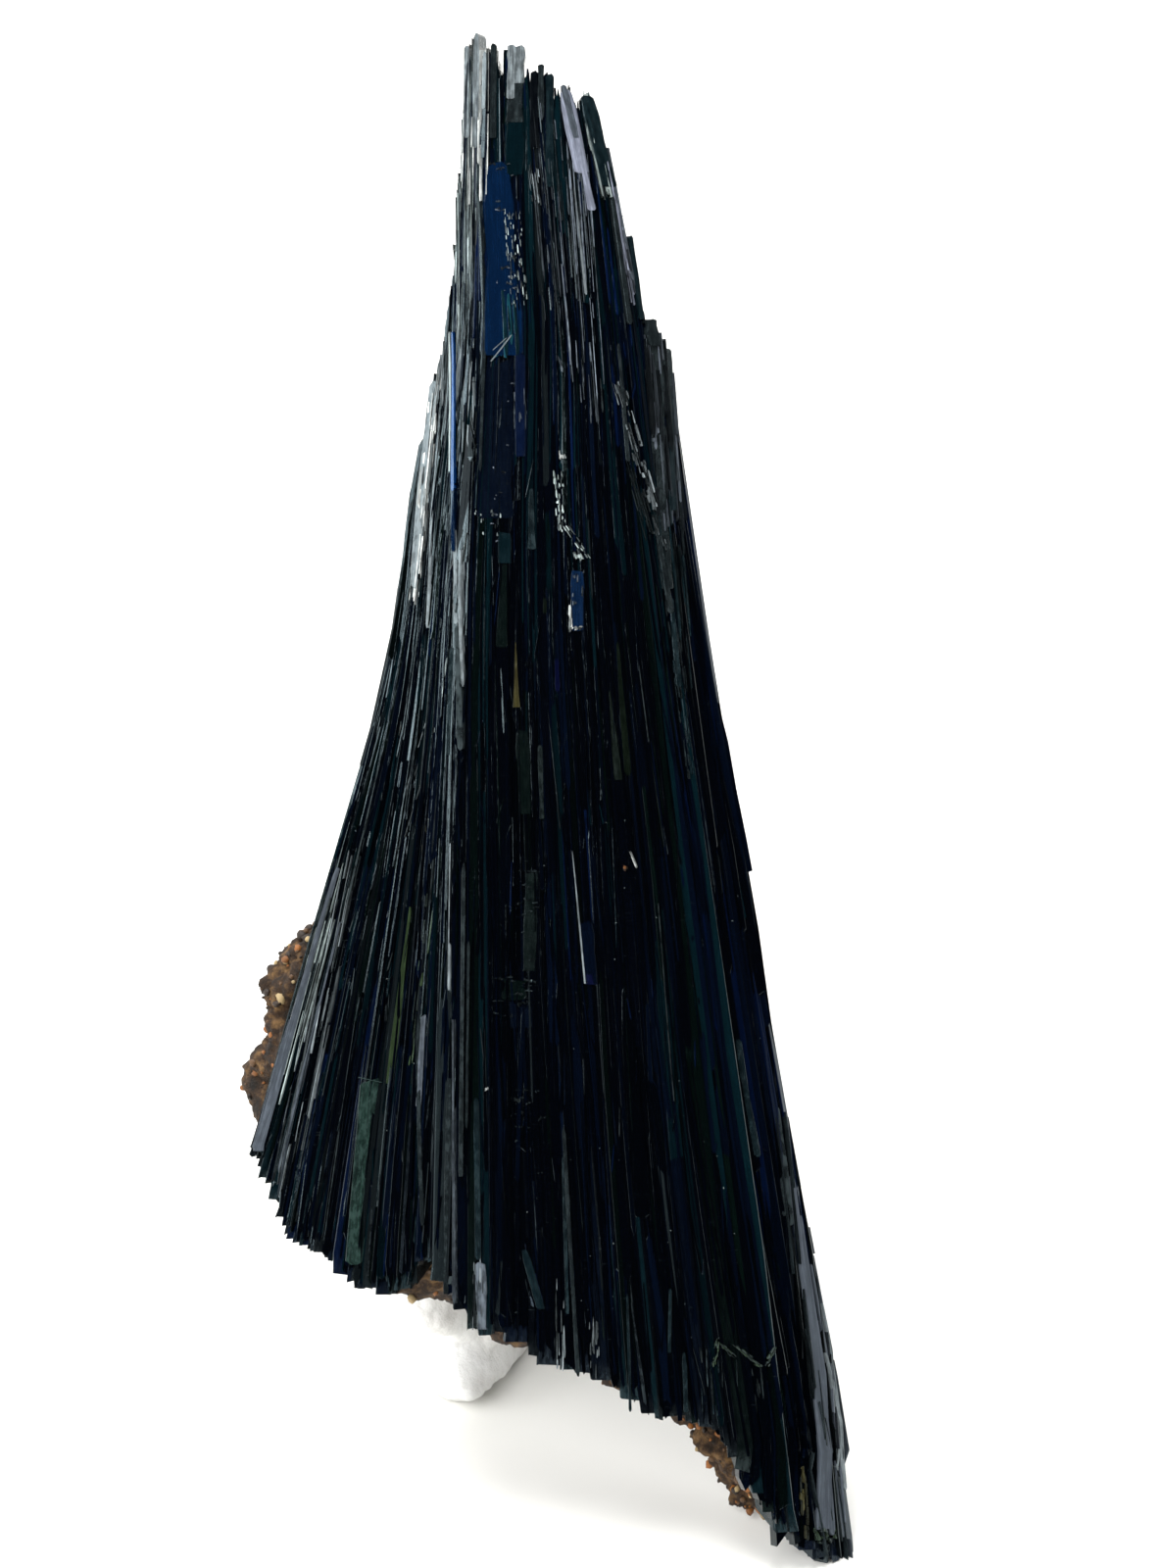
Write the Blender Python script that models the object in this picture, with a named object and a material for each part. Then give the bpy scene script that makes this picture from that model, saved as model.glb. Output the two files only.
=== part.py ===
"""A fan of radiating vivianite blades with its limonite crust, leaning on a lump of white putty.

The fan is drawn in its own upright frame, in millimetres: X runs across its face, Y goes into its
depth and Z up its face. X is 0 on the long ridge where the left wing meets the middle, and Z is 0
at the lowest tip. The whole fan is then laid back by LEAN, so that it stands on that tip and on
the putty behind it, and everything is moved so that the origin is at the bottom's centre.
"""

import math

import bmesh
import bpy
import numpy as np
from mathutils import Matrix

MM = 0.001
GAP = 0.3
LEAN = math.radians(28)

# The floor, below the fan's own origin, and the place of the bottom's centre, the model's origin.
FLOOR_DROP = 2.382
BASE_CENTRE = (5.015, 26.786)

# Lines up the fan, as (height, x). The wings' edges go on past the outline, where short blades end.
RIDGE = ((0, -0.7), (18, -0.5), (61, 0.0), (69, 0.4), (81, 1.3), (100, 1.6))
LEFT_EDGE = (
    (0, -21.2), (18, -16.2), (26, -14.2), (33, -12.1), (42, -9.4), (49, -7.3),
    (55, -5.6), (62, -4.1), (69, -3.4), (77, -2.0), (100, -0.9),
)  # fmt: skip
RIGHT_EDGE = (
    (0, 25.8), (5.6, 25.1), (6.6, 25.5), (11, 24.7), (18, 23.3), (31, 20.8), (44, 19.0),
    (57, 16.8), (70, 14.8), (79, 13.6), (93, 11.3), (100, 10.3),
)  # fmt: skip

# The ragged broken foot of the fan, as (x, height), from the left corner to the lowest tip.
FOOT = (
    (-16.5, 25.4), (-13.9, 25.6), (-12.4, 22.3), (-11.6, 20.1), (-9.2, 19.6), (-7.1, 17.7),
    (-5.1, 17.3), (-4.0, 18.0), (-3.4, 19.3), (-1.4, 19.2), (-0.8, 17.2), (1.2, 14.2), (2.6, 14.5),
    (5.8, 12.4), (10.0, 11.2), (12.7, 8.9), (15.2, 8.5), (16.6, 7.3), (17.6, 5.6), (19.1, 3.5),
    (20.6, 1.9), (21.6, 1.1),
    (23.5, -0.9), (25.9, -0.9),
)  # fmt: skip

# Where the blades end at the top, as (share across a wing, height). Left wing shares are negative.
TIPS_MIDDLE = (
    (0.02, 98.9), (0.06, 99.6), (0.11, 99.0), (0.165, 99.4), (0.225, 99.5), (0.28, 99.1),
    (0.335, 97.5), (0.385, 98.1), (0.43, 98.2), (0.48, 97.5), (0.525, 96.7), (0.57, 97.3),
    (0.62, 96.5), (0.67, 95.8), (0.72, 96.2), (0.765, 95.9), (0.80, 92.9), (0.84, 86.5),
    (0.88, 82.4), (0.92, 81.6), (0.96, 80.5), (0.99, 79.2),
)  # fmt: skip
TIPS_LEFT = (
    (-0.06, 98.8), (-0.19, 100.0), (-0.31, 99.4), (-0.41, 99.0), (-0.49, 90.7), (-0.56, 86.0),
    (-0.64, 84.5), (-0.72, 80.2), (-0.82, 78.6), (-0.94, 77.2),
)  # fmt: skip

# Depth of the fan, as (height, size).
THICKNESS = ((0, 13.0), (20, 16.0), (50, 14.5), (80, 8.5), (100, 5.5))
WING_FALL = ((0, 8.0), (25, 7.5), (50, 4.0), (75, 1.6), (100, 0.8))
RIGHT_FALL = ((0, 4.0), (30, 3.8), (70, 2.6), (100, 1.6))
WING_STEP = 0.7
RIM = 3.4
FOOT_RISE = 0.6
BACK_TIPS = (
    (-0.95, 64), (-0.7, 74), (-0.5, 82), (-0.35, 95), (0.0, 97.5),
    (0.5, 96), (0.72, 93), (0.8, 84), (0.96, 76),
)  # fmt: skip
BLADE_RINGS = 5
HEART_OUT = -0.4
HEART_FOOT = 1.8
SEAT_OUT = 1.7
SEAT_FOOT = -1.0
HEART_TOPS = (
    (-0.96, 62.5), (-0.74, 71.0), (-0.47, 81.5), (-0.3, 94.0), (-0.17, 95.5), (-0.02, 96.0), (0.15, 96.0),
    (0.33, 95.0), (0.5, 94.5), (0.65, 93.0), (0.78, 90.5), (0.88, 80.5), (0.97, 77.0),
)  # fmt: skip
HEART_LEVELS = (0.0, 0.12, 0.26, 0.4, 0.54, 0.68, 0.82, 1.0)

# The limonite crust behind the foot: a lumpy band along (x, height, depth, radius).
CRUST_LINE = (
    (-8.8, 40.6, 12.2, 1.3), (-10.3, 38.4, 12.6, 2.3), (-10.5, 35.2, 12.9, 2.6), (-10.4, 31.2, 13.3, 3.1),
    (-9.3, 25.8, 13.6, 3.9), (-6.2, 22.2, 12.6, 3.8), (-2.2, 20.0, 8.2, 3.1), (3.2, 18.6, 9.8, 3.6),
    (8.5, 15.4, 9.6, 3.3), (13.2, 12.0, 9.0, 2.9), (16.6, 8.4, 7.4, 2.4), (18.7, 5.5, 6.7, 2.2),
    (20.4, 3.7, 6.6, 1.7), (21.6, 2.6, 6.4, 1.2),
)  # fmt: skip
CRUST_AROUND = 12
CRUST_ALONG = 26

# The putty: corners of its base on the floor, and how each level above is scaled and shifted.
PUTTY_MIDDLE = (-2.0, 36.0)
PUTTY_BASE = (
    (0.4, 20.4), (-1.4, 20.5), (-5.4, 24.9), (-10.2, 32.2), (-12.6, 39.0), (-11.0, 46.5),
    (-3.5, 50.5), (4.0, 49.0), (8.0, 42.0), (6.6, 33.0), (4.0, 26.5),
)  # fmt: skip
PUTTY_LEVELS = (
    (0.0, 1.00, 0.0, 0.0), (2.0, 1.05, 0.0, 0.3), (5.0, 1.10, -0.6, -0.2), (9.0, 1.13, -1.4, -1.5),
    (13.0, 1.08, -1.8, -2.6), (17.0, 0.90, -1.5, -2.6), (21.0, 0.62, -0.8, -1.6), (23.5, 0.28, 0.0, -1.0),
)  # fmt: skip
PUTTY_UP = 13


def along(curve, at):
    """The value of a curve of (place, value) pairs at one place or an array of places."""
    places, values = np.array(curve).T
    return np.interp(at, places, values)


def across(share, height):
    """X of a line up the fan: a share of 0 is the ridge, 1 the right edge and -1 the left edge."""
    ridge = along(RIDGE, height)
    right = along(RIGHT_EDGE, height)
    left = along(LEFT_EDGE, height)
    return np.where(share >= 0, ridge + share * (right - ridge), ridge - share * (left - ridge))


def front(share, height):
    """Depth of the fan's front: flat in the middle, falling back over both wings."""
    wing = WING_STEP + along(WING_FALL, height) * np.abs(share)
    turn = np.clip((share - 0.72) / 0.28, 0, None) ** 1.6
    middle = 0.35 * (share - 0.4) ** 2 + along(RIGHT_FALL, height) * turn
    return np.where(share < 0, wing, middle)


def front_at(x, height):
    """Depth of the fan's front at a place given by its X."""
    ridge = along(RIDGE, height)
    reach = np.where(x > ridge, along(RIGHT_EDGE, height) - ridge, ridge - along(LEFT_EDGE, height))
    return front((x - ridge) / reach, height)


def back(share, height):
    """Depth of the fan's back, which rounds over to a thin rim at both edges."""
    full = along(THICKNESS, height) - front(share, height)
    return front(share, height) + RIM + (full - RIM) * np.clip(1 - np.abs(share) ** 2.4, 0, 1)


def foot(x, depth):
    """Height of the broken foot, rising behind the front face."""
    height = along(FOOT, x)
    return height + FOOT_RISE * np.clip(depth - front_at(x, height), 0, None)


def foot_on(share):
    """Height at which a line up the fan leaves the foot, found by stepping down the line."""
    height = 14.0
    for _ in range(12):
        height = float(along(FOOT, across(share, height)))
    return height


class Blade:
    """One crystal: a six-sided bar that follows a line up the fan, with a chisel tip."""

    def __init__(self, shares, bottom, top, width, proud, root=2.6, facing=1, tilt=0.0, ends=(0.0, 0.0)):
        self.shares = shares  # share across the fan at the bottom and at the top
        self.bottom = bottom  # height, or None where it ends at the broken foot
        self.top = top
        self.width = width  # in shares
        self.proud = proud  # how far it stands out of the fan's surface
        self.root = root  # how deep it reaches below that surface
        self.facing = facing  # 1 on the front, -1 on the back
        self.tilt = tilt  # slope of its outer face
        self.ends = ends  # slopes of its bottom and top, or at the broken foot how far it stops short

    def rings(self):
        """Corner points of the bar at several heights: a section carried along a line up the fan."""
        low = self.bottom
        if low is None:
            low = foot_on(self.shares[0])
        if self.bottom is None and self.facing < 0:
            low += FOOT_RISE * float(back(self.shares[0], low) - front(self.shares[0], low))
        steps = np.linspace(0, 1, BLADE_RINGS)
        heights = low + (self.top - low) * steps
        shares = self.shares[0] + (self.shares[1] - self.shares[0]) * steps
        middle = across(shares, heights)
        right = across(shares + 0.5 * self.width, heights)
        left = across(shares - 0.5 * self.width, heights)
        half = np.abs(right - left)[:, None] / 2 + 0.1
        surface = front(shares, heights) if self.facing > 0 else back(shares, heights)
        side = half * np.array([-1, -0.7, 0.7, 1, 1.02, -1.02])
        depth = np.array([-0.35, -1, -1, -0.35, 0, 0]) * self.proud + self.tilt * side
        depth[:, 4:] = self.root
        depth = surface[:, None] + self.facing * depth
        height = np.repeat(heights[:, None], 6, axis=1)
        height[-1] += self.ends[1] * side[-1]
        if self.bottom is None:
            height[0] = foot(middle[0] + side[0], depth[0]) + self.ends[0]
        else:
            height[0] += self.ends[0] * side[0]
        return np.stack([middle[:, None] + side, depth, height], axis=2)


def random_strips(rng, start, end, narrow, wide):
    """Neighbouring strips of uneven width between two shares, as (middle, width)."""
    edges = [start]
    while edges[-1] < end - narrow:
        edges.append(edges[-1] + narrow + (wide - narrow) * rng.random() ** 2)
    edges = start + (np.array(edges) - start) * (end - start) / (edges[-1] - start)
    return [((a + b) / 2, b - a) for a, b in zip(edges, edges[1:])]


def middle_blades(rng):
    """Right of the ridge: slim blades that end at the top, over broader ones that reach the foot."""
    blades = [Blade((0.012, 0.02), None, 72.0, 0.022, 0.55)]
    shares = [0.0, *(tip[0] for tip in TIPS_MIDDLE), 1.0]
    for i, (share, top) in enumerate(TIPS_MIDDLE):
        width = (shares[i + 2] - shares[i]) / 2
        low = rng.uniform(34, 68)
        blades.append(
            Blade((share, share), low, top, width * 1.1, rng.uniform(0.1, 0.8),
                  tilt=rng.uniform(-0.25, 0.25), ends=(rng.uniform(-1, 1), rng.uniform(-0.9, 0.9)))
        )  # fmt: skip
    for share, width in random_strips(rng, 0.02, 1.0, 0.022, 0.11):
        top = rng.uniform(50, 76)
        blades.append(
            Blade((share, share), None, top, width * 1.05, rng.uniform(0.0, 0.7),
                  tilt=rng.uniform(-0.12, 0.12), ends=(rng.uniform(-0.2, 0.4), rng.uniform(-1, 1)))
        )  # fmt: skip
    return blades


def left_blades(rng):
    """Left of the ridge: some run down from the top, and more begin lower down along the edge."""
    blades = []
    for share, top in TIPS_LEFT:
        blades.append(
            Blade((share * 0.5, share), min(top, 74) - 15, top, 0.11, rng.uniform(0.15, 0.6),
                  root=2.0, tilt=rng.uniform(-0.2, 0.2), ends=(0, rng.uniform(-1.2, 1.2)))
        )  # fmt: skip
    for share, width in random_strips(rng, 0.0, 1.0, 0.03, 0.09):
        top = 74 - 14 * share + rng.uniform(-9, 3)
        blades.append(
            Blade((-share, -share * 0.94), None, top, width * 1.06, rng.uniform(0.0, 0.8),
                  root=2.2, tilt=rng.uniform(-0.3, 0.3), ends=(rng.uniform(-0.2, 0.5), rng.uniform(-1.5, 1.5)))
        )  # fmt: skip
    return blades


def back_blades(rng):
    """Broad blades over the back, in an upper and a lower length."""
    blades = []
    for share, width in random_strips(rng, -0.95, 0.96, 0.07, 0.17):
        reach = along(BACK_TIPS, share) + rng.uniform(-2.5, 0.5)
        break_at = rng.uniform(40, 62)
        for low, high in ((break_at - 1.2, reach), (None, break_at)):
            blades.append(
                Blade((share, share), low, high, width * 1.1, rng.uniform(0.1, 0.9), facing=-1,
                      tilt=rng.uniform(-0.15, 0.15), ends=(rng.uniform(-0.2, 0.6), rng.uniform(-1, 1)))
            )  # fmt: skip
    return blades


def turned_outwards(rings):
    """The rings, with their corners in the order that turns every face of the bar outwards."""
    centre = rings[0].mean(axis=0)
    spokes = rings[0] - centre
    turn = np.cross(spokes, np.roll(spokes, -1, axis=0)).sum(axis=0)
    onward = rings[1].mean(axis=0) - centre
    return rings if turn @ onward > 0 else [ring[::-1] for ring in rings]


def mesh_of_bars(name, bars):
    """One mesh of closed bars, each given as rings of corner points in millimetres.

    The caps are ladders of quads, from a ring's first corners across to its last ones.
    """
    shape = bmesh.new()
    for rings in bars:
        loops = [[shape.verts.new(point * MM) for point in ring] for ring in turned_outwards(rings)]
        sides = len(loops[0])
        for low, high in zip(loops, loops[1:]):
            for i in range(sides):
                j = (i + 1) % sides
                shape.faces.new((low[i], low[j], high[j], high[i]))
        for i in range(sides // 2 - 1):
            rung = (i, i + 1, sides - 2 - i, sides - 1 - i)
            shape.faces.new([loops[-1][k] for k in rung])
            shape.faces.new([loops[0][k] for k in reversed(rung)])
    mesh = bpy.data.meshes.new(name)
    shape.to_mesh(mesh)
    shape.free()
    return mesh


def heart_rings(out, above_foot):
    """A loft of the fan without its blades, in levels from the foot to the tips.

    Its sides lie this far outside the fan's surface, and it starts this far above the foot.
    """
    shares, high = np.array([*HEART_TOPS, *HEART_TOPS[::-1]]).T
    rear = np.arange(len(shares)) >= len(HEART_TOPS)
    low = np.array([foot_on(share) for share in shares])
    low += above_foot + np.where(rear, FOOT_RISE * (back(shares, low) - front(shares, low)), 0)
    rings = []
    for level in HEART_LEVELS:
        height = low + (high - low) * level
        x = across(shares, height) + np.trunc(shares / 0.95) * (out - HEART_OUT)
        depth = np.where(rear, back(shares, height) + out, front(shares, height) - out)
        rings.append(np.stack([x, depth, height], axis=1))
    return rings


def crust_rings(grow):
    """A lumpy tube along CRUST_LINE: circles set square to the line, with bumps added outwards."""
    line = np.array(CRUST_LINE)
    t = np.linspace(0, 1, CRUST_ALONG)
    knots = np.linspace(0, 1, len(line))
    path = np.stack([np.interp(t, knots, line[:, k]) for k in (0, 2, 1)], axis=1)
    rounded = np.sqrt(np.clip(np.sin(math.pi * (0.05 + 0.9 * t)) * 2.4, 0, 1))
    radius = np.interp(t, knots, line[:, 3]) * rounded
    heading = np.gradient(path, axis=0)
    heading /= np.linalg.norm(heading, axis=1)[:, None]
    inward = np.array([0.0, 1.0, 0.0]) - heading[:, 1:2] * heading
    inward /= np.linalg.norm(inward, axis=1)[:, None]
    sideways = np.cross(heading, inward)
    turn = np.linspace(0, 2 * math.pi, CRUST_AROUND, endpoint=False)
    around, length = np.meshgrid(turn, t)
    lumps = (
        0.13 * np.sin(3 * around + 21 * length)
        + 0.11 * np.sin(5 * around - 37 * length + 1.0)
        + 0.08 * np.cos(2 * around + 55 * length)
        + 0.07 * np.sin(7 * around + 71 * length + 2.0)
    )
    size = (radius[:, None] * (1 + lumps) + grow)[..., None]
    out = np.cos(around)[..., None] * sideways[:, None] + np.sin(around)[..., None] * inward[:, None]
    return path[:, None] + size * out


def putty_rings():
    """The putty's surface: its base outline carried up through the levels, with crumbly bumps."""
    corners = np.array([*PUTTY_BASE, PUTTY_BASE[0]]) - PUTTY_MIDDLE
    half_way = (corners[:-1] + corners[1:]) / 2
    base = np.stack([corners[:-1], half_way], axis=1).reshape(-1, 2)
    turn = np.arctan2(base[:, 1], base[:, 0])
    levels = np.array(PUTTY_LEVELS)
    t = np.linspace(0, 1, PUTTY_UP)
    height, scale, shift_x, shift_y = (
        np.interp(t, np.linspace(0, 1, len(levels)), levels[:, k])[:, None] for k in range(4)
    )
    around, level = np.meshgrid(turn, t)
    bumps = (
        0.045 * np.sin(4 * around + 9 * level)
        + 0.04 * np.sin(7 * around - 17 * level + 1.3)
        + 0.025 * np.sin(11 * around + 29 * level)
    ) * np.minimum(1, level * 6)
    size = scale * (1 + bumps)
    x = PUTTY_MIDDLE[0] + shift_x + base[:, 0] * size
    y = PUTTY_MIDDLE[1] + shift_y + base[:, 1] * size
    return np.stack([x, y, height - FLOOR_DROP + 0 * around], axis=2)


def paint(obj, name, colour, roughness):
    """A plain material for one sub-part."""
    material = bpy.data.materials.new(name)
    material.use_nodes = True
    shader = material.node_tree.nodes["Principled BSDF"]
    shader.inputs["Base Color"].default_value = (*colour, 1)
    shader.inputs["Roughness"].default_value = roughness
    shader.inputs["Metallic"].default_value = 0
    obj.data.materials.append(material)


def place(name, mesh, matrix, hidden=False):
    """Puts a mesh in the scene. A hidden one is only a cutter."""
    obj = bpy.data.objects.new(name, mesh)
    obj.matrix_world = matrix
    bpy.context.scene.collection.objects.link(obj)
    if hidden:
        obj.hide_render = True
        obj.display_type = "WIRE"
    return obj


def boolean(obj, other, operation):
    """Adds an exact Boolean to an object, which also copes with a tool whose bars overlap."""
    step = obj.modifiers.new(operation.title() + " " + other.name, "BOOLEAN")
    step.operation = operation
    step.object = other
    step.solver = "EXACT"
    step.use_self = True


def main():
    for old in list(bpy.data.objects):
        bpy.data.objects.remove(old)

    upright = Matrix.Translation((-BASE_CENTRE[0] * MM, -BASE_CENTRE[1] * MM, FLOOR_DROP * MM))
    laid_back = upright @ Matrix.Rotation(-LEAN, 4, "X")

    rng = np.random.default_rng(7)
    blades = middle_blades(rng) + left_blades(rng) + back_blades(rng)

    shapes = {
        "Blades": [blade.rings() for blade in blades],
        "Fan seat": [heart_rings(SEAT_OUT, SEAT_FOOT)],
        "Crust seat": [crust_rings(2 * GAP)],
    }
    tools = {n: place(n, mesh_of_bars(n, bars), laid_back, hidden=True) for n, bars in shapes.items()}
    fan = place("vivianite_fan", mesh_of_bars("Fan heart", [heart_rings(HEART_OUT, HEART_FOOT)]), laid_back)
    boolean(fan, tools["Blades"], "UNION")
    paint(fan, "Vivianite", (0.006, 0.018, 0.035), 0.12)

    crust = place("limonite_crust", mesh_of_bars("Crust", [crust_rings(0)]), laid_back)
    boolean(crust, tools["Fan seat"], "DIFFERENCE")
    paint(crust, "Limonite", (0.20, 0.10, 0.04), 0.9)

    putty = place("white_putty", mesh_of_bars("Putty", [putty_rings()]), upright)
    boolean(putty, tools["Fan seat"], "DIFFERENCE")
    boolean(putty, tools["Crust seat"], "DIFFERENCE")
    paint(putty, "Putty", (0.80, 0.79, 0.76), 0.8)


main()
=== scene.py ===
"""The looks of a fan of radiating vivianite blades on its crust, leaning on a lump of white putty.

The fan is worked out in its own upright frame, in millimetres: x runs across its face, depth away
from the viewer and height up its face. It is then laid back by LEAN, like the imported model. Every
crystal is a closed bar carried along a line of the fan's surface, and all of them are computed as
whole arrays.
"""

import math
from functools import partial

import bpy
import numpy as np
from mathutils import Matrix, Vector

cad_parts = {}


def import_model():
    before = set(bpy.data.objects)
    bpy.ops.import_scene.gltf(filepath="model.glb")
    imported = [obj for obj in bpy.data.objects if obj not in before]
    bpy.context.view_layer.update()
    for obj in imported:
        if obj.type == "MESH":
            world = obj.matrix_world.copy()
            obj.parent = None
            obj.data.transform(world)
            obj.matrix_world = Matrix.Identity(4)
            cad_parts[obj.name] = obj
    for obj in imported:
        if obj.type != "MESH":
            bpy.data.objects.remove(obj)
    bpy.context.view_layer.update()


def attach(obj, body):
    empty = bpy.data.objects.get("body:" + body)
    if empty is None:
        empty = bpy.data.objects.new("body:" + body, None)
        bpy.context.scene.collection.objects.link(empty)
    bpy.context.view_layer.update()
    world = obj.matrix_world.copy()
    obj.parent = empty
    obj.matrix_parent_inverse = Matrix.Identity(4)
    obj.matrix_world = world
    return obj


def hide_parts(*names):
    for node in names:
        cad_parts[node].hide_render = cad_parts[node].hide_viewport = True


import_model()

MM = 0.001
LEAN = math.radians(28)
# How far the laid-back fan is raised, and the (x, y) that becomes the middle of the base.
FLOOR_DROP = 2.382
BASE_CENTRE = (5.015, 26.786)

# ---- the fan's outline and surface ----

# Lines up the fan, as (height, x).
RIDGE = ((0, -0.7), (18, -0.5), (61, 0.0), (69, 0.4), (81, 1.3), (100, 1.6))
LEFT_EDGE = (
    (0, -21.2), (18, -16.2), (26, -14.2), (33, -12.1), (42, -9.4), (49, -7.3),
    (55, -5.6), (62, -4.1), (69, -3.4), (77, -2.0), (100, -0.9),
)  # fmt: skip
RIGHT_EDGE = (
    (0, 25.8), (5.6, 25.1), (6.6, 25.5), (11, 24.7), (18, 23.3), (31, 20.8), (44, 19.0),
    (57, 16.8), (70, 14.8), (79, 13.6), (93, 11.3), (100, 10.3),
)  # fmt: skip

# The ragged broken foot, as (x, height), from the left corner to the lowest tip.
FOOT = (
    (-16.5, 25.4), (-13.9, 25.6), (-12.4, 22.3), (-11.6, 20.1), (-9.2, 19.2), (-7.1, 17.2),
    (-5.1, 16.7), (-3.4, 17.0), (-2.7, 19.1), (-1.4, 19.2), (-0.8, 17.2), (1.2, 14.2), (2.6, 14.5),
    (5.8, 12.4), (10.0, 11.2), (12.7, 8.9), (15.2, 8.6), (16.9, 8.1), (18.1, 6.0), (19.6, 3.6),
    (20.6, 2.0), (21.6, 1.1), (23.5, -0.9), (25.9, -0.9),
)  # fmt: skip

# Where the blades end at the top, as (turn round the fan, height).
TIPS = (
    (-0.99, 70.0), (-0.94, 77.2), (-0.82, 78.6), (-0.72, 80.2), (-0.64, 84.5), (-0.56, 86.0),
    (-0.49, 90.7), (-0.41, 99.0), (-0.31, 99.4), (-0.19, 100.0), (-0.06, 98.8), (0.02, 98.9),
    (0.06, 99.6), (0.11, 99.0), (0.165, 99.4), (0.225, 99.5), (0.28, 99.1), (0.335, 97.5),
    (0.385, 98.1), (0.43, 98.2), (0.48, 97.5), (0.525, 96.7), (0.57, 97.3), (0.62, 96.5),
    (0.67, 95.8), (0.72, 96.2), (0.765, 95.9), (0.80, 92.9), (0.84, 86.5), (0.88, 82.4),
    (0.92, 81.6), (0.96, 80.5), (0.99, 79.2), (1.2, 77.5), (1.44, 75.5), (1.6, 83.0),
    (1.68, 92.0), (1.9, 95.0), (2.4, 96.5), (2.75, 94.0), (2.9, 81.0), (3.1, 73.0), (3.35, 63.0),
    (3.6, 64.0), (3.8, 68.0),
)  # fmt: skip

# Depths by height: the whole thickness, and how far the two sides have fallen back at their edges.
THICKNESS = ((0, 13.0), (20, 16.0), (50, 14.5), (80, 8.5), (100, 5.5))
WING_FALL = ((0, 8.0), (25, 7.5), (50, 4.0), (75, 1.6), (100, 0.8))
RIGHT_FALL = ((0, 4.0), (30, 3.8), (70, 2.6), (100, 1.6))
# The wing steps back beside the ridge, and the right side is dished and then bends back.
WING_STEP, STEP_SHARE = 0.7, 0.03
DISH, DISH_MIDDLE = 0.35, 0.4
BEND_FROM, BEND_OVER, BEND_POWER = 0.72, 0.28, 1.6
# The rim's thickness, and how late the back rounds over to it.
RIM, BACK_POWER = 3.4, 2.4
# Turns round a level section: the front ends at 1, the right rim at REAR_START, the rear at
# REAR_END, and ROUND is once round.
REAR_START, REAR_END, ROUND = 1.4, 3.4, 4.8
RIM_TURN = 0.4
# How steeply the foot rises behind the front, and how its height is found.
FOOT_RISE = 0.6
FOOT_GUESS, FOOT_ROUNDS, FOOT_STRIDE = 14.0, 24, 0.6


def along(curve, at):
    """The value of a curve of (place, value) pairs at an array of places."""
    places, values = np.array(curve).T
    return np.interp(at, places, values)


def ramp(value, over):
    """0 below 0, then a straight rise to 1 over the given distance, and 1 past it."""
    return np.clip(value / over, 0, 1)


def across(share, height):
    """X of a line up the fan: the ridge, plus a share of the way to the right or the left edge."""
    ridge = along(RIDGE, height)
    right = along(RIGHT_EDGE, height)
    left = along(LEFT_EDGE, height)
    return np.where(share >= 0, ridge + share * (right - ridge), ridge - share * (left - ridge))


def front(share, height):
    """Depth of the front: nearly flat in the middle, falling back over both sides.

    On the wing it is a step beside the ridge plus the fall times the share. On the other side it is
    the square of the share's distance from DISH_MIDDLE, plus the fall times a power of the bend.
    """
    wing = WING_STEP * ramp(-share, STEP_SHARE) + along(WING_FALL, height) * np.abs(share)
    bend = np.clip((share - BEND_FROM) / BEND_OVER, 0, None) ** BEND_POWER
    middle = DISH * (share - DISH_MIDDLE) ** 2 + along(RIGHT_FALL, height) * bend
    return np.where(share < 0, wing, middle)


def back(share, height):
    """Depth of the back, which rounds over to a rim at both edges.

    It is the front plus the rim, plus the rest of the thickness times 1 less a power of the share.
    """
    near = front(share, height)
    full = along(THICKNESS, height) - near
    return near + RIM + (full - RIM) * np.clip(1 - np.abs(share) ** BACK_POWER, 0, 1)


def skin(turn, height):
    """A point of the fan's surface, as (x, depth).

    The turn runs round a level section: -1 to 1 across the front, on round the right rim, back
    across the rear and round the left rim, which ends at -1 again.
    """
    turn = (turn + 1) % ROUND - 1
    share = np.select(
        [turn <= 1, turn <= REAR_START, turn <= REAR_END],
        [turn, 1.0 + 0 * turn, REAR_START + 1 - turn],
        -1.0,
    )
    behind = ramp(turn - 1, RIM_TURN) - ramp(turn - REAR_END, RIM_TURN)
    near = front(share, height)
    return across(share, height), near + behind * (back(share, height) - near)


def skin_frame(turn, height):
    """The surface's point, its unit direction onwards round the section and its unit normal."""
    reach = 0.03
    x, depth = skin(turn, height)
    x1, depth1 = skin(turn + reach, height)
    x0, depth0 = skin(turn - reach, height)
    point = np.stack([x, depth], axis=-1)
    onward = np.stack([x1 - x0, depth1 - depth0], axis=-1)
    onward /= np.linalg.norm(onward, axis=-1, keepdims=True) + 1e-9
    outward = np.stack([onward[..., 1], -onward[..., 0]], axis=-1)
    return point, onward, outward


def turn_of(x, height):
    """The turn of a place on the front that is given by its x."""
    ridge = along(RIDGE, height)
    right = along(RIGHT_EDGE, height) - ridge
    return (x - ridge) / np.where(x > ridge, right, ridge - along(LEFT_EDGE, height))


def broken_foot(x, depth):
    """Height of the broken foot, which rises behind the front face."""
    height = along(FOOT, x)
    near = front(np.clip(turn_of(x, height), -1, 1), height)
    return height + FOOT_RISE * np.clip(depth - near, 0, None)


def foot_height(turn):
    """Height at which each line up the fan leaves the broken foot, found by stepping along it."""
    height = np.full(np.shape(turn), FOOT_GUESS)
    for _ in range(FOOT_ROUNDS):
        height = height + FOOT_STRIDE * (broken_foot(*skin(turn, height)) - height)
    return height


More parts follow.
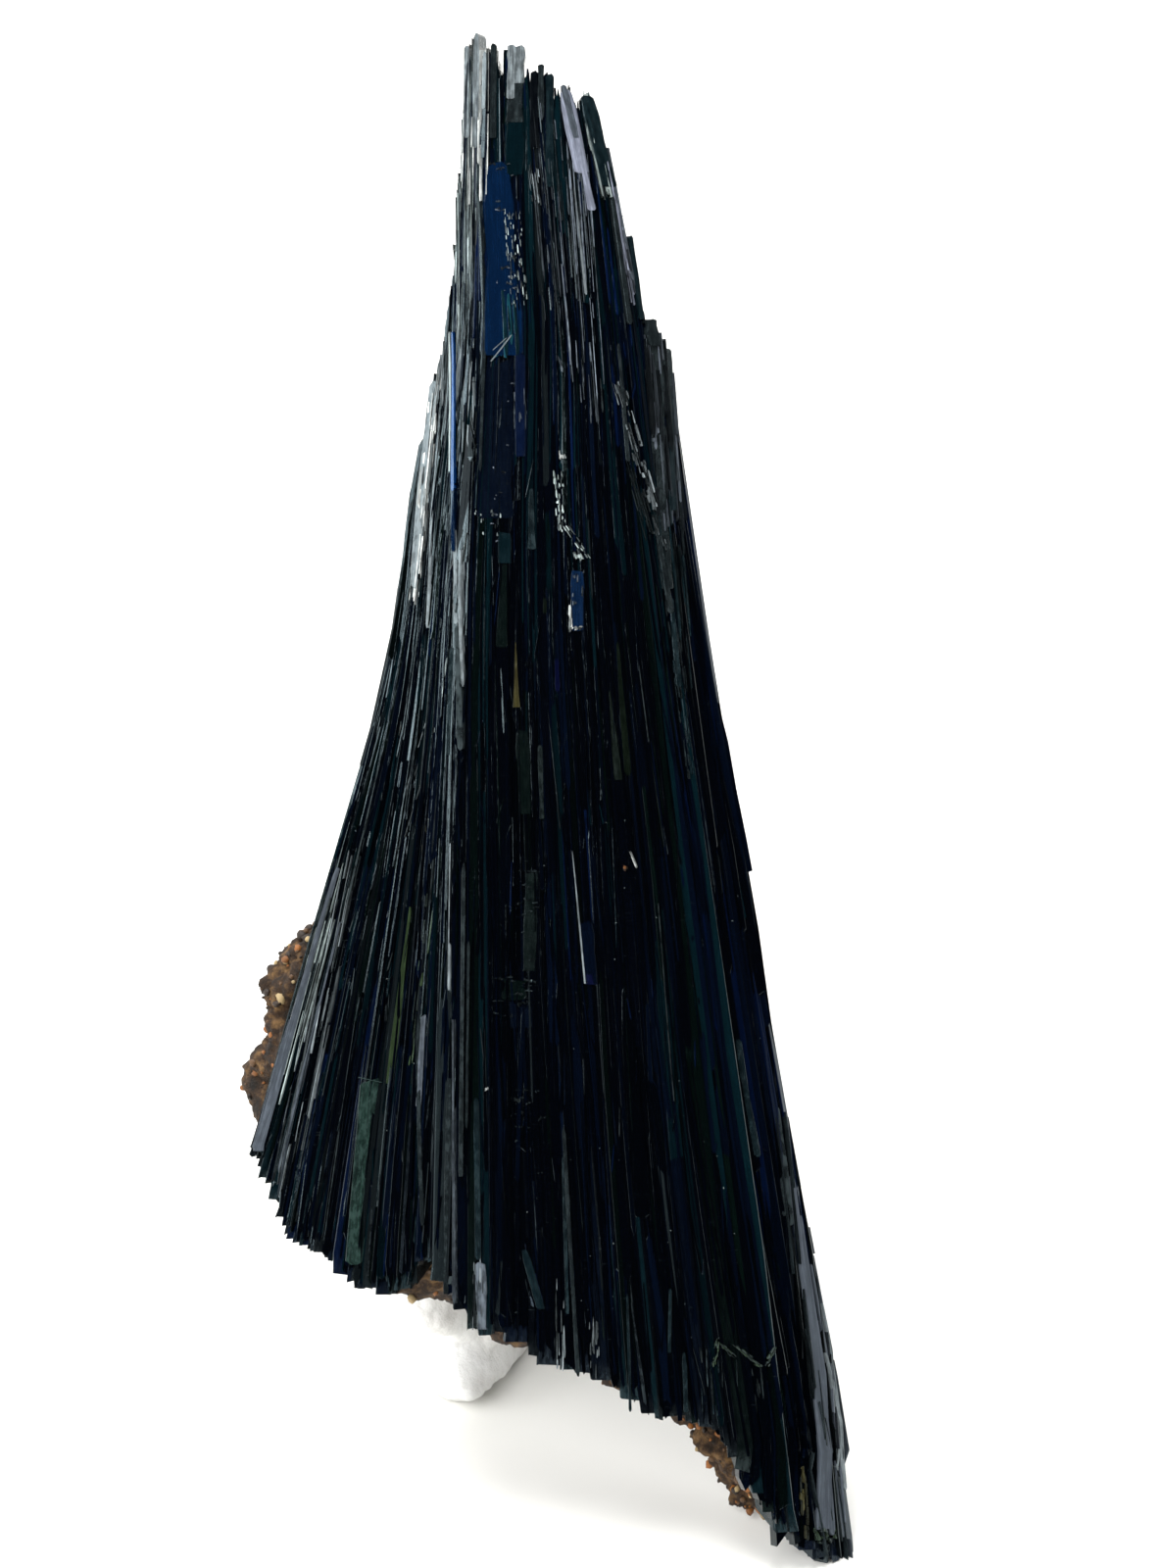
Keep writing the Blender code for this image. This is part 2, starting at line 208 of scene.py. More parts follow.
def world(points):
    """Fan-frame points (x, depth, height) in millimetres, laid back and put in place, in metres."""
    x, depth, height = points[..., 0], points[..., 1], points[..., 2]
    c, s = math.cos(LEAN), math.sin(LEAN)
    y = depth * c + height * s - BASE_CENTRE[1]
    z = height * c - depth * s + FLOOR_DROP
    return np.stack([x - BASE_CENTRE[0], y, z], axis=-1) * MM


# ---- making meshes ----


def placed(name, data):
    """An object of the scene that shows a mesh, a light or a camera."""
    obj = bpy.data.objects.new(name, data)
    bpy.context.scene.collection.objects.link(obj)
    return obj


def put(name, mesh, material):
    """Makes a piece of the model from a finished mesh."""
    obj = placed(name, mesh)
    mesh.materials.append(material)
    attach(obj, "root")
    return obj


def mesh_from(name, points, faces, smooth, **values):
    """A mesh from arrays: points (n, 3), faces (m, corners) and named values at the points."""
    mesh = bpy.data.meshes.new(name)
    count, corners = faces.shape
    mesh.vertices.add(len(points))
    mesh.loops.add(faces.size)
    mesh.polygons.add(count)
    mesh.vertices.foreach_set("co", points.astype(np.float32).ravel())
    mesh.loops.foreach_set("vertex_index", faces.astype(np.int32).ravel())
    mesh.polygons.foreach_set("loop_start", np.arange(0, faces.size, corners, dtype=np.int32))
    mesh.polygons.foreach_set("use_smooth", np.full(count, smooth))
    for key, value in values.items():
        kind, field = {1: ("FLOAT", "value"), 3: ("FLOAT_VECTOR", "vector")}[value.shape[-1]]
        attribute = mesh.attributes.new(key, kind, "POINT")
        attribute.data.foreach_set(field, value.astype(np.float32).ravel())
    mesh.update()
    mesh.validate()
    return mesh


def bar_faces(bars, rings, sides):
    """Quads of many closed bars: their sides, ring to ring, and a ladder of quads at each end."""
    ring, side = np.meshgrid(np.arange(rings - 1), np.arange(sides), indexing="ij")
    near, after = ring.ravel() * sides, (side.ravel() + 1) % sides
    side = side.ravel()
    wall = [near + side, near + after, near + sides + after, near + sides + side]
    rung = np.arange(sides // 2 - 1)
    cap = np.stack([rung, rung + 1, sides - 2 - rung, sides - 1 - rung], axis=1)
    one = np.concatenate([np.stack(wall, axis=1), cap[:, ::-1], cap + (rings - 1) * sides])
    return (one[None] + (np.arange(bars) * rings * sides)[:, None, None]).reshape(-1, 4)


# ---- the blades ----

# Where the rings of a long blade and of a short one lie, as shares of the length.
LONG = (0, 0.02, 0.22, 0.5, 0.78, 0.975, 1.0)
SHORT = (0, 0.15, 0.85, 1.0)
# Corners of a section, from the left shoulder round the face to the root.
SIDES = 6
# The least length that a blade from the broken foot, or any other, needs to be kept.
LEAST_BROKEN, LEAST = 0.8, 0.03
# Stands for a run so long that a slope over it is next to nothing.
NO_SLOPE = 99.0
ABOVE_FLOOR = 0.02
# How unevenly wide a blade is, and how deep its shoulders may lie as a share of its root.
UNEVEN, SHOULDER_DEPTH = 0.1, 0.9
# How ragged the broken ends are: for a whole blade, with its slant, and for each corner.
JAG, JAG_SLANT, JAG_CORNER = 0.3, 0.2, 0.2
# Frost on the first, the second and the last ring of a blade from the broken foot.
END_FROST = (0.8, 0.12, 0.3)
# How fast the grain runs on down a blade's sides, how far down, and how far apart it starts.
GRAIN_DOWN, GRAIN_DEPTH, GRAIN_APART = 1.7, 3, 90
# How far a face is turned level with the front: falling with height, more below LEVEL_BELOW,
# within two limits, and not at all in the low right corner. Each fades in over its OVER.
LEVEL_LOW, LEVEL_FALL = 1.1, 75
LEVEL_BELOW, LEVEL_MORE, LEVEL_OVER = 69, 0.35, 5
LEVEL_LIMITS = (0.15, 0.9)
CORNER_TURN, TURN_OVER = 0.85, 0.1
CORNER_HEIGHT, HEIGHT_OVER = 24, 8


def levelling(turn, height):
    """A straight fall with height plus a step, times 1 less a corner faded over both."""
    more = LEVEL_MORE * ramp(LEVEL_BELOW - height, LEVEL_OVER)
    share = np.clip(LEVEL_LOW - height / LEVEL_FALL + more, *LEVEL_LIMITS)
    right = ramp(turn - CORNER_TURN, TURN_OVER)
    return share * (1 - right * ramp(CORNER_HEIGHT - height, HEIGHT_OVER))


class Blades:
    """A growing set of crystals, kept as arrays with one row for each crystal."""

    # What a crystal has unless it is given.
    usual = dict(frost=0, root=2.4, drift=0, tilt=0, slant=0, foot_slant=0, edge=0.86, taper=0)

    def __init__(self, seed, steps=LONG):
        self.rng = np.random.default_rng(seed)
        self.steps = np.array(steps)
        self.rows = []

    def add(self, turn, low, top, width, proud, tint, **values):
        """Adds crystals. Any value may be one number or an array; turn is at the middle height.

        low may be None for crystals that end at the broken foot. Widths and the distance that the
        face stands proud are in millimetres, and drift is the change of turn from low to top.
        """
        turn = np.atleast_1d(np.asarray(turn, float))
        count = len(turn)
        values = {**self.usual, **values}
        broken = low is None
        if broken:
            low = foot_height(turn - np.asarray(values["drift"]) / 2)
        values.update(turn=turn, low=low, top=top, width=width, proud=proud, broken=broken)
        row = {k: np.broadcast_to(np.asarray(v, float), (count,)) for k, v in values.items()}
        row["tint"] = np.broadcast_to(np.asarray(tint, float), (count, 3))
        keep = row["top"] - row["low"] > (LEAST_BROKEN if broken else LEAST)
        self.rows.append({k: v[keep] for k, v in row.items()})

    def mesh(self, name):
        """All the crystals as one mesh: each a section carried up its line in rings.

        A corner lies at the line's point, plus its side times half the width along the surface,
        plus its stand-off square to the surface. The last ring draws in to a chisel and slopes.
        """
        rng, steps = self.rng, self.steps
        r = {k: np.concatenate([row[k] for row in self.rows])[:, None] for k in self.rows[0]}
        count, rings = len(r["turn"]), len(steps)
        height = r["low"] + (r["top"] - r["low"]) * steps
        turn = r["turn"] + r["drift"] * (steps - 0.5)
        point, onward, outward = skin_frame(turn, height)

        half = 0.5 * r["width"] * (1 + UNEVEN * rng.standard_normal((count, rings)))
        half *= 1 - r["taper"] * steps
        half[:, -1:] *= r["chisel"]
        half[:, -2:-1] *= 0.5 + 0.5 * r["chisel"] ** 0.3
        half[:, :1] *= np.where(r["broken"] > 0, 1, rng.uniform(0.2, 1, (count, 1)))
        one = np.ones((count, 1))
        section = np.concatenate([-one, -r["edge"], r["edge"], one, one, -one], axis=1)
        side = half[..., None] * section[:, None]

        proud, root = r["proud"][..., None], r["root"][..., None]
        out = np.zeros((count, rings, SIDES))
        out[..., 1:3] = proud
        shoulder = proud - (r["bevel"] * r["width"])[..., None]
        out[..., [0, 3]] = np.maximum(shoulder, -SHOULDER_DEPTH * root)
        out[..., 4:] = -root
        run = np.where(np.abs(turn) <= 1, onward[..., 0], NO_SLOPE)
        slope = np.clip(onward[..., 1] / run, -1, 1)
        tilt = r["tilt"] + levelling(turn, height) * slope
        out[..., :4] += tilt[..., None] * side[..., :4]
        flat = point[:, :, None] + side[..., None] * onward[:, :, None]
        flat = flat + out[..., None] * outward[:, :, None]

        length = np.repeat(height[..., None], SIDES, axis=2)
        level = length.copy()
        level[:, -1] += r["slant"] * side[:, -1]
        level[:, 0] += r["foot_slant"] * side[:, 0]
        jag = rng.uniform(0, JAG, (count, 1)) + JAG_SLANT * r["foot_slant"] * side[:, 0]
        foot = broken_foot(point[:, 0, :1] + 0 * side[:, 0], flat[:, 0, :, 1]) + jag
        foot = foot + rng.uniform(0, JAG_CORNER, foot.shape)
        level[:, 0] = np.where(r["broken"] > 0, foot, level[:, 0])
        on_floor = (flat[..., 1] * math.sin(LEAN) - FLOOR_DROP + ABOVE_FLOOR) / math.cos(LEAN)
        points = np.concatenate([flat, np.maximum(level, on_floor)[..., None]], axis=-1)

        below = np.maximum(out - proud, -GRAIN_DEPTH)
        girth = side - GRAIN_DOWN * below * np.sign(section[:, None])
        seed = rng.uniform(0, GRAIN_APART, (count, 1, 1)) + 0 * girth
        ends = np.zeros(rings)
        ends[[0, 1, -1]] = END_FROST
        ends = r["broken"] * ends * rng.uniform(0.2, 1, (count, 1))
        frost = np.clip(r["frost"] + ends, 0, 1)
        tint = np.broadcast_to(r["tint"][:, :, None], (count, rings, SIDES, 3))
        return mesh_from(
            name, world(points).reshape(-1, 3), bar_faces(count, rings, SIDES), smooth=False,
            grain=np.stack([girth, length, seed], axis=-1).reshape(-1, 3),
            tint=tint.reshape(-1, 3),
            frost=np.repeat(frost[..., None], SIDES, axis=2).reshape(-1, 1),
        )  # fmt: skip


def strips(rng, start, end, narrow, wide):
    """Neighbouring strips of uneven width between two turns, as (middles, widths) in turns."""
    count = int(3 * (end - start) / narrow) + 2
    edges = np.cumsum(narrow + (wide - narrow) * rng.random(count) ** 2)
    edges = np.concatenate([[0], edges])
    edges = edges[: np.searchsorted(edges, end - start) + 1]
    edges = start + edges * (end - start) / edges[-1]
    return (edges[1:] + edges[:-1]) / 2, np.diff(edges)


def reach_across(turn, size, height):
    """Millimetres across the surface that a difference in turn comes to at a height."""
    x1, d1 = skin(turn + 0.5 * size, height)
    x0, d0 = skin(turn - 0.5 * size, height)
    return np.hypot(x1 - x0, d1 - d0)


NAVY = (0.0006, 0.0020, 0.0070)
INK = (0.0002, 0.0004, 0.0015)
TEAL = (0.0010, 0.0070, 0.0100)
SEA = (0.0040, 0.0420, 0.0600)
DEEP_BLUE = (0.0010, 0.0045, 0.0220)
PANEL = (0.0013, 0.0105, 0.0380)
BLUE = (0.0008, 0.0013, 0.0160)
ELECTRIC = (0.0050, 0.0550, 0.2300)
MOSS = (0.0007, 0.0028, 0.0021)
MOSSY = (0.0220, 0.0370, 0.0150)
OLIVE = (0.0020, 0.0042, 0.0012)
OCHRE = (0.0480, 0.0400, 0.0100)
RUST = (0.3000, 0.1200, 0.0350)
GREY = (0.0080, 0.0115, 0.0130)
# Painted reflections: the next four colours stand in for the sheen and glints that side-turned
# faces, fibres and broken ends catch, painted into their colour.
STEEL_SHEEN = (0.0450, 0.0540, 0.0660)
SILVER_GLINT = (0.1900, 0.2200, 0.2350)
LILAC_SHEEN = (0.2300, 0.2500, 0.3200)
LILACGREY_SHEEN = (0.0850, 0.1000, 0.1220)
FROSTED = (0.4200, 0.5000, 0.4900)
TEALFROST = (0.0085, 0.0260, 0.0190)
# Near white: the real colour of white chips and lint, and also painted glints on fibres and streaks
# and a painted highlight beside a blue inclusion.
WHITE_AND_GLINT = (0.7500, 0.7800, 0.7600)

# How common each dark colour is low in the middle, on the wing and at the top.
DARK = (NAVY, INK, TEAL, DEEP_BLUE, OLIVE, MOSS, GREY)
DARK_LOW = (0.28, 0.63, 0.02, 0.02, 0.00, 0.04, 0.01)
DARK_WING = (0.20, 0.45, 0.24, 0.01, 0.00, 0.08, 0.02)
DARK_TOP = (0.25, 0.32, 0.16, 0.18, 0.01, 0.04, 0.04)


def tints(rng, turn, height):
    """A dark colour for each crystal: inky low down and to the right, greener left, bluer high."""
    count = len(turn)
    low, wing, top = np.array([DARK_LOW, DARK_WING, DARK_TOP])
    left = ramp(-turn * 3, 1)[:, None]
    high = ramp(height - 60, 25)[:, None]
    weights = (low * (1 - left) + wing * left) * (1 - high) + top * high
    pick = (rng.random(count)[:, None] > np.cumsum(weights, axis=1)).sum(axis=1)
    chosen = np.array(DARK)[pick.clip(0, len(DARK) - 1)]
    return chosen * (rng.uniform(0.2, 1.1, count) + 0.5 * high[:, 0])[:, None]


def grow_strips(blades, start, end, narrow, wide, proud, top_drop, root=2.6):
    """A closed row of crystals side by side, from the broken foot to the tips."""
    rng = blades.rng
    turn, size = strips(rng, start, end, narrow, wide)
    count = len(turn)
    top = along(TIPS, turn) - rng.uniform(*top_drop, count)
    at_foot = reach_across(turn, size, foot_height(turn))
    bevel = 0.01 + 0.12 * rng.random(count) ** 3
    blades.add(
        turn, None, top, 1.12 * at_foot, rng.uniform(*proud, count), tints(rng, turn, top),
        tilt=rng.normal(0, 0.06, count), slant=rng.uniform(-1.5, 1.5, count),
        foot_slant=rng.uniform(-0.6, 0.6, count), chisel=rng.uniform(0.2, 0.9, count),
        taper=1 - reach_across(turn, size, top) / at_foot, root=root, bevel=bevel,
    )  # fmt: skip


def scatter(blades, count, start, end, wide, long, proud, lean, frosted):
    """Crystals strewn over the surface, each from some height to another, seldom past the tips.

    wide, long and proud are (least, most), and frosted is the share of them that is frosted.
    """
    rng = blades.rng
    turn = rng.uniform(start, end, count)
    foot = foot_height(turn)
    tip = along(TIPS, turn)
    length = long[0] * (long[1] / long[0]) ** rng.random(count)
    middle = foot + (tip - foot) * rng.random(count)
    low = np.maximum(middle - length / 2, foot + rng.uniform(0.2, 1.6, count))
    top = np.minimum(middle + length / 2, tip - rng.uniform(0, 2.5, count))
    width = wide[0] * (wide[1] / wide[0]) ** rng.random(count)
    blades.add(
        turn, low, top, width, proud[0] + (proud[1] - proud[0]) * rng.random(count) ** 1.5,
        tints(rng, turn, middle), frost=(rng.random(count) < frosted) * rng.uniform(0.3, 1, count),
        drift=rng.normal(0, 0.012, count), tilt=rng.normal(0, lean, count), root=1.0,
        bevel=0.01 + 0.25 * rng.random(count) ** 4, chisel=rng.uniform(0.05, 0.8, count),
        slant=rng.uniform(-1.5, 1.5, count), foot_slant=rng.uniform(-1.5, 1.5, count),
        taper=rng.uniform(0, 0.9, count),
    )  # fmt: skip


# Single blades of the front that stand out, as (x low, height low, x top, height top, width, how
# far they stand proud, colour, frost, how blunt the tip is or, if negative, how far they taper).
MARKED = (
    # the spire's left side, fibrous, with painted silvery glints
    (0.11, 75.33, 0.24, 94.74, 0.32, 0.25, SILVER_GLINT, 0.5, 0.3),
    (0.84, 72.03, 0.82, 86.95, 0.39, 0.31, GREY, 0.5, 0.6),
    (1.3, 71.38, 1.49, 89.42, 0.19, 0.43, GREY, 0.4, 0.5),
    (1.62, 92.01, 1.75, 98.45, 0.32, 0.31, NAVY, 0.1, 0.6),
    (2.13, 93.29, 2.2, 99.48, 0.45, 0.34, GREY, 0.3, 0.4),
    (1.09, 92.74, 1.15, 100.3, 0.39, 0.42, SILVER_GLINT, 0.4, 0.2),
    (0.5, 93.42, 0.5, 99.49, 0.39, 0.4, SILVER_GLINT, 0.4, 0.3),
    (1.68, 95.22, 1.75, 98.96, 0.26, 0.38, SILVER_GLINT, 0.4, 0.3),
    (-0.14, 61.1, -0.16, 89.59, 0.32, 0.28, SILVER_GLINT, 0.4, 0.4),
    # its flat pale tip and the dark tips beside it
    (3.62, 96.89, 3.68, 99.28, 1.23, 0.36, SILVER_GLINT, 0.5, 0.6),
    (3.55, 94.32, 3.62, 97.16, 1.16, 0.33, GREY, 0.4, 0.9),
    (3.3, 95.86, 3.36, 99.4, 0.52, 0.4, SILVER_GLINT, 0.5, 0.4),
    (3.55, 90.85, 3.62, 95.1, 1.16, 0.3, TEAL, 0, 0.8),
    (4.84, 92.64, 4.84, 97.67, 0.58, 0.34, INK, 0.1, 0.5),
    (5.29, 94.57, 5.29, 98.11, 0.45, 0.4, GREY, 0.3, 0.4),
    (5.87, 90.07, 5.87, 97.48, 0.58, 0.31, TEAL, 0.25, 0.5),
    # the deep blue panel and the broad dark face below it
    (2.84, 78.99, 2.46, 91.68, 2.71, 0.34, PANEL, 0, -0.35),
    # the next two: thin painted highlight lines along the panel's lower edge
    (2.01, 78.59, 3.36, 80.33, 0.1, 0.4, SILVER_GLINT, 0.3, 0.4),
    (1.81, 79.05, 3.04, 80.14, 0.08, 0.4, SILVER_GLINT, 0.3, 0.4),
    (2.33, 68.29, 2.26, 78.35, 2.58, 0.23, NAVY, 0.05, 1),
    (3.94, 72.35, 3.94, 79.12, 0.65, 0.3, DEEP_BLUE, 0.08, 0.6),
    # slanted blade with a painted lilac reflection, and its thin followers
    (8, 90.96, 6.9, 96.37, 0.97, 0.44, LILAC_SHEEN, 0.15, 0.5),
    (8.64, 88.51, 7.61, 94.05, 0.58, 0.47, LILAC_SHEEN, 0.15, -0.5),
    (7.61, 93.27, 6.77, 96.75, 0.39, 0.5, LILACGREY_SHEEN, 0.3, 0.3),
    (8.26, 82.97, 7.48, 90.06, 0.19, 0.42, SILVER_GLINT, 0.3, -0.6),
    (9.67, 90.09, 8.26, 96.05, 0.97, 0.41, TEAL, 0.3, 0.6),
    (11.16, 84.02, 9.55, 92.69, 0.26, 0.4, LILACGREY_SHEEN, 0.4, -0.5),
    (10.96, 81.07, 9.8, 89.44, 0.32, 0.49, GREY, 0.3, 0.3),
    (11.74, 81.45, 10.97, 86.94, 0.39, 0.4, TEAL, 0.2, 0.4),
    # the electric blade, the pale shoulder and what stands by them
    (-0.27, 70.14, -0.34, 80.63, 0.26, 0.62, ELECTRIC, 0, -0.4),
    (-0.2, 66.13, -0.27, 70.79, 0.26, 0.6, PANEL, 0, 0.4),
    (-0.47, 71.44, -0.54, 80.64, 0.1, 0.64, FROSTED, 0.2, 0.4),
    (-2.78, 63.75, -1.6, 77.46, 0.77, 0.42, SILVER_GLINT, 0.9, 0.4),
    (-1.99, 61.13, -1.2, 75.37, 0.32, 0.4, SILVER_GLINT, 0.4, -0.7),
    (0.27, 57.2, 0.27, 66.22, 0.19, 0.42, SILVER_GLINT, 0.5, 0.6),
    (0.01, 61.33, -0.21, 67.56, 0.26, 0.45, SILVER_GLINT, 0.6, 0.8),
    (0.14, 53.02, 0.07, 61.2, 0.32, 0.4, GREY, 0.9, 0.7),
    (-0.4, 52.7, -0.27, 59.8, 0.39, 0.43, TEAL, 0.4, 0.6),
    # right shoulder
    (12.52, 79.74, 12.27, 81.48, 0.9, 0.49, GREY, 0.3, 0.3),
    (13.57, 75.39, 13.38, 79.63, 0.84, 0.36, GREY, 0.5, 0.5),
    (13.04, 68.86, 12.53, 79.76, 1.03, 0.3, GREY, 0.5, 0.8),
    (13.82, 68.89, 13.57, 76.7, 0.39, 0.4, TEAL, 0.3, 0.8),
    (13.36, 63.68, 13.04, 69.19, 0.9, 0.3, GREY, 0.4, 0.5),
    (10.96, 72.03, 10.32, 79.76, 0.26, 0.34, GREY, 0.4, 0.3),
    (13.68, 62.07, 12.84, 67.23, 0.32, 0.4, GREY, 0.5, 0.3),
    (14.2, 57.22, 13.68, 63.04, 0.32, 0.4, TEAL, 0.4, 0.3),
    # inclusions and slivers of the middle
    (2.91, 65.33, 2.91, 67.32, 0.9, 0.28, TEAL, 0.1, 1),
    (2.71, 59.79, 2.91, 65.27, 0.77, 0.22, MOSS, 0.1, -0.6),
    (4.71, 66.23, 4.65, 70.23, 0.58, 0.24, TEAL, 0.5, -0.5),
    (3.68, 55.85, 3.62, 60.11, 0.52, 0.26, OCHRE, 0.4, -0.9),
    (5.55, 62.04, 5.55, 63.01, 0.26, 0.28, OLIVE, 0.1, 0.3),
    (11.03, 51.41, 10.32, 60.11, 0.58, 0.24, OLIVE, 0.1, -0.6),
    (10.38, 51.08, 9.8, 56.89, 0.58, 0.22, OLIVE, 0.3, -0.8),
    (7.68, 60.88, 7.68, 64.81, 0.84, 0.26, PANEL, 0.1, 0.9),
    (6.39, 56.88, 6.32, 59.01, 0.32, 0.28, BLUE, 0.05, 0.5),
    (4.26, 48.83, 4.07, 54.31, 0.9, 0.2, MOSS, 0.1, 0.5),
    (5.36, 48.51, 5.23, 53.34, 0.32, 0.31, MOSS, 0.5, 0.4),
    # the bright line, a painted highlight, and the blue blade that it ends
    (8.19, 37.68, 7.35, 46.38, 0.13, 0.4, SILVER_GLINT, 0.4, -0.5),
    (8.58, 37.68, 8.26, 41.74, 0.9, 0.41, NAVY, 0, 0.4),
    (8.64, 37.62, 8.51, 38.26, 0.77, 0.42, BLUE, 0.1, 0.9),
    # teal inclusion and the growth steps below it
    (4.52, 38.51, 4.71, 44.96, 0.84, 0.22, MOSS, 0.25, 0.9),
    (3.49, 36.58, 3.55, 37.87, 1.55, 0.19, MOSS, 0.05, 1),
    (3.87, 34.77, 3.87, 36.19, 1.68, 0.18, NAVY, 0.05, 1),
    # left wing
    (-7, 18.82, -5.88, 31.09, 1.16, 0.42, TEALFROST, 0.5, 0.9),
    (-5.15, 30.99, -6.61, 31.26, 0.19, 0.46, TEALFROST, 0.9, 0.9),
    (-4.62, 30.93, -3.23, 42.65, 0.52, 0.36, MOSSY, 0.1, -0.7),
    (-2.56, 29.38, -2.24, 35.54, 0.45, 0.4, LILACGREY_SHEEN, 0.4, 0.15),
    (-2.36, 21.63, -2.63, 35.21, 0.26, 0.46, GREY, 0.4, 0.4),
    (-13.5, 26.11, -8.1, 45.2, 0.97, 0.46, LILACGREY_SHEEN, 0.15, -0.6),
    (-12.14, 24.71, -7.97, 41.6, 0.32, 0.4, LILACGREY_SHEEN, 0.3, -0.6),
    (-13.77, 26.23, -11.33, 34.99, 0.45, 0.48, LILACGREY_SHEEN, 0.3, -0.5),
    # ridge
    (-0.25, 16.62, -0.25, 35.3, 0.19, 0.45, STEEL_SHEEN, 0.4, -0.5),
    (0.08, 25, 0.27, 45.61, 0.26, 0.52, GREY, 0.5, 0.3),
    (-0.45, 37.22, -0.33, 46.89, 0.13, 0.45, SILVER_GLINT, 0.35, -0.5),
    (-0.71, 17.23, -0.45, 31.42, 0.26, 0.46, GREY, 0.45, 0.5),
    (0.4, 28.21, 0.53, 40.45, 0.19, 0.46, GREY, 0.3, 0.4),
    # broken foot
    (1.42, 14.93, 1.3, 19.31, 0.71, 0.32, LILACGREY_SHEEN, 0.9, 0.4),
    (1.17, 19.51, 1.04, 30.14, 0.39, 0.34, TEAL, 0.45, 0.4),
    (7.03, 15.97, 6.77, 26.28, 0.26, 0.4, TEAL, 0.5, 0.3),
    (7.74, 11.86, 6.77, 28.22, 0.26, 0.46, GREY, 0.3, 0.4),
    (5.29, 16.29, 4.2, 20.15, 0.52, 0.34, TEAL, 0.25, 0.4),
    (11.16, 9.53, 10.96, 17.26, 0.19, 0.4, TEAL, 0.45, 0.3),
    (13.73, 13.4, 13.8, 17.58, 0.19, 0.4, TEAL, 0.4, 0.3),
    (14.83, 9.53, 14.7, 13.4, 0.32, 0.4, TEAL, 0.4, 0.3),
    # right edge, long faces with painted lilac-grey reflections
    (23.84, 1.41, 21.6, 24.72, 1.29, 0.42, LILACGREY_SHEEN, 0, -0.75),
    (24.38, 0.97, 22.19, 22.1, 0.58, 0.45, LILACGREY_SHEEN, 0, -0.6),
    (25.12, 0.74, 22.98, 18.83, 0.32, 0.4, LILACGREY_SHEEN, 0, -0.6),
    (24.67, 5.18, 23.78, 16.2, 0.19, 0.48, SILVER_GLINT, 0.3, -0.5),
    (25.2, 3.83, 23.88, 12.99, 0.32, 0.49, SILVER_GLINT, 0.35, 0.3),
    (21.19, 22.17, 20.49, 29.93, 0.26, 0.34, GREY, 0.4, -0.6),
    (21.58, 21.5, 20.76, 29.27, 0.45, 0.36, GREY, 0.9, -0.6),
    (19.4, 26.14, 18.1, 33.92, 0.32, 0.4, TEAL, 0.4, 0.3),
)  # fmt: skip


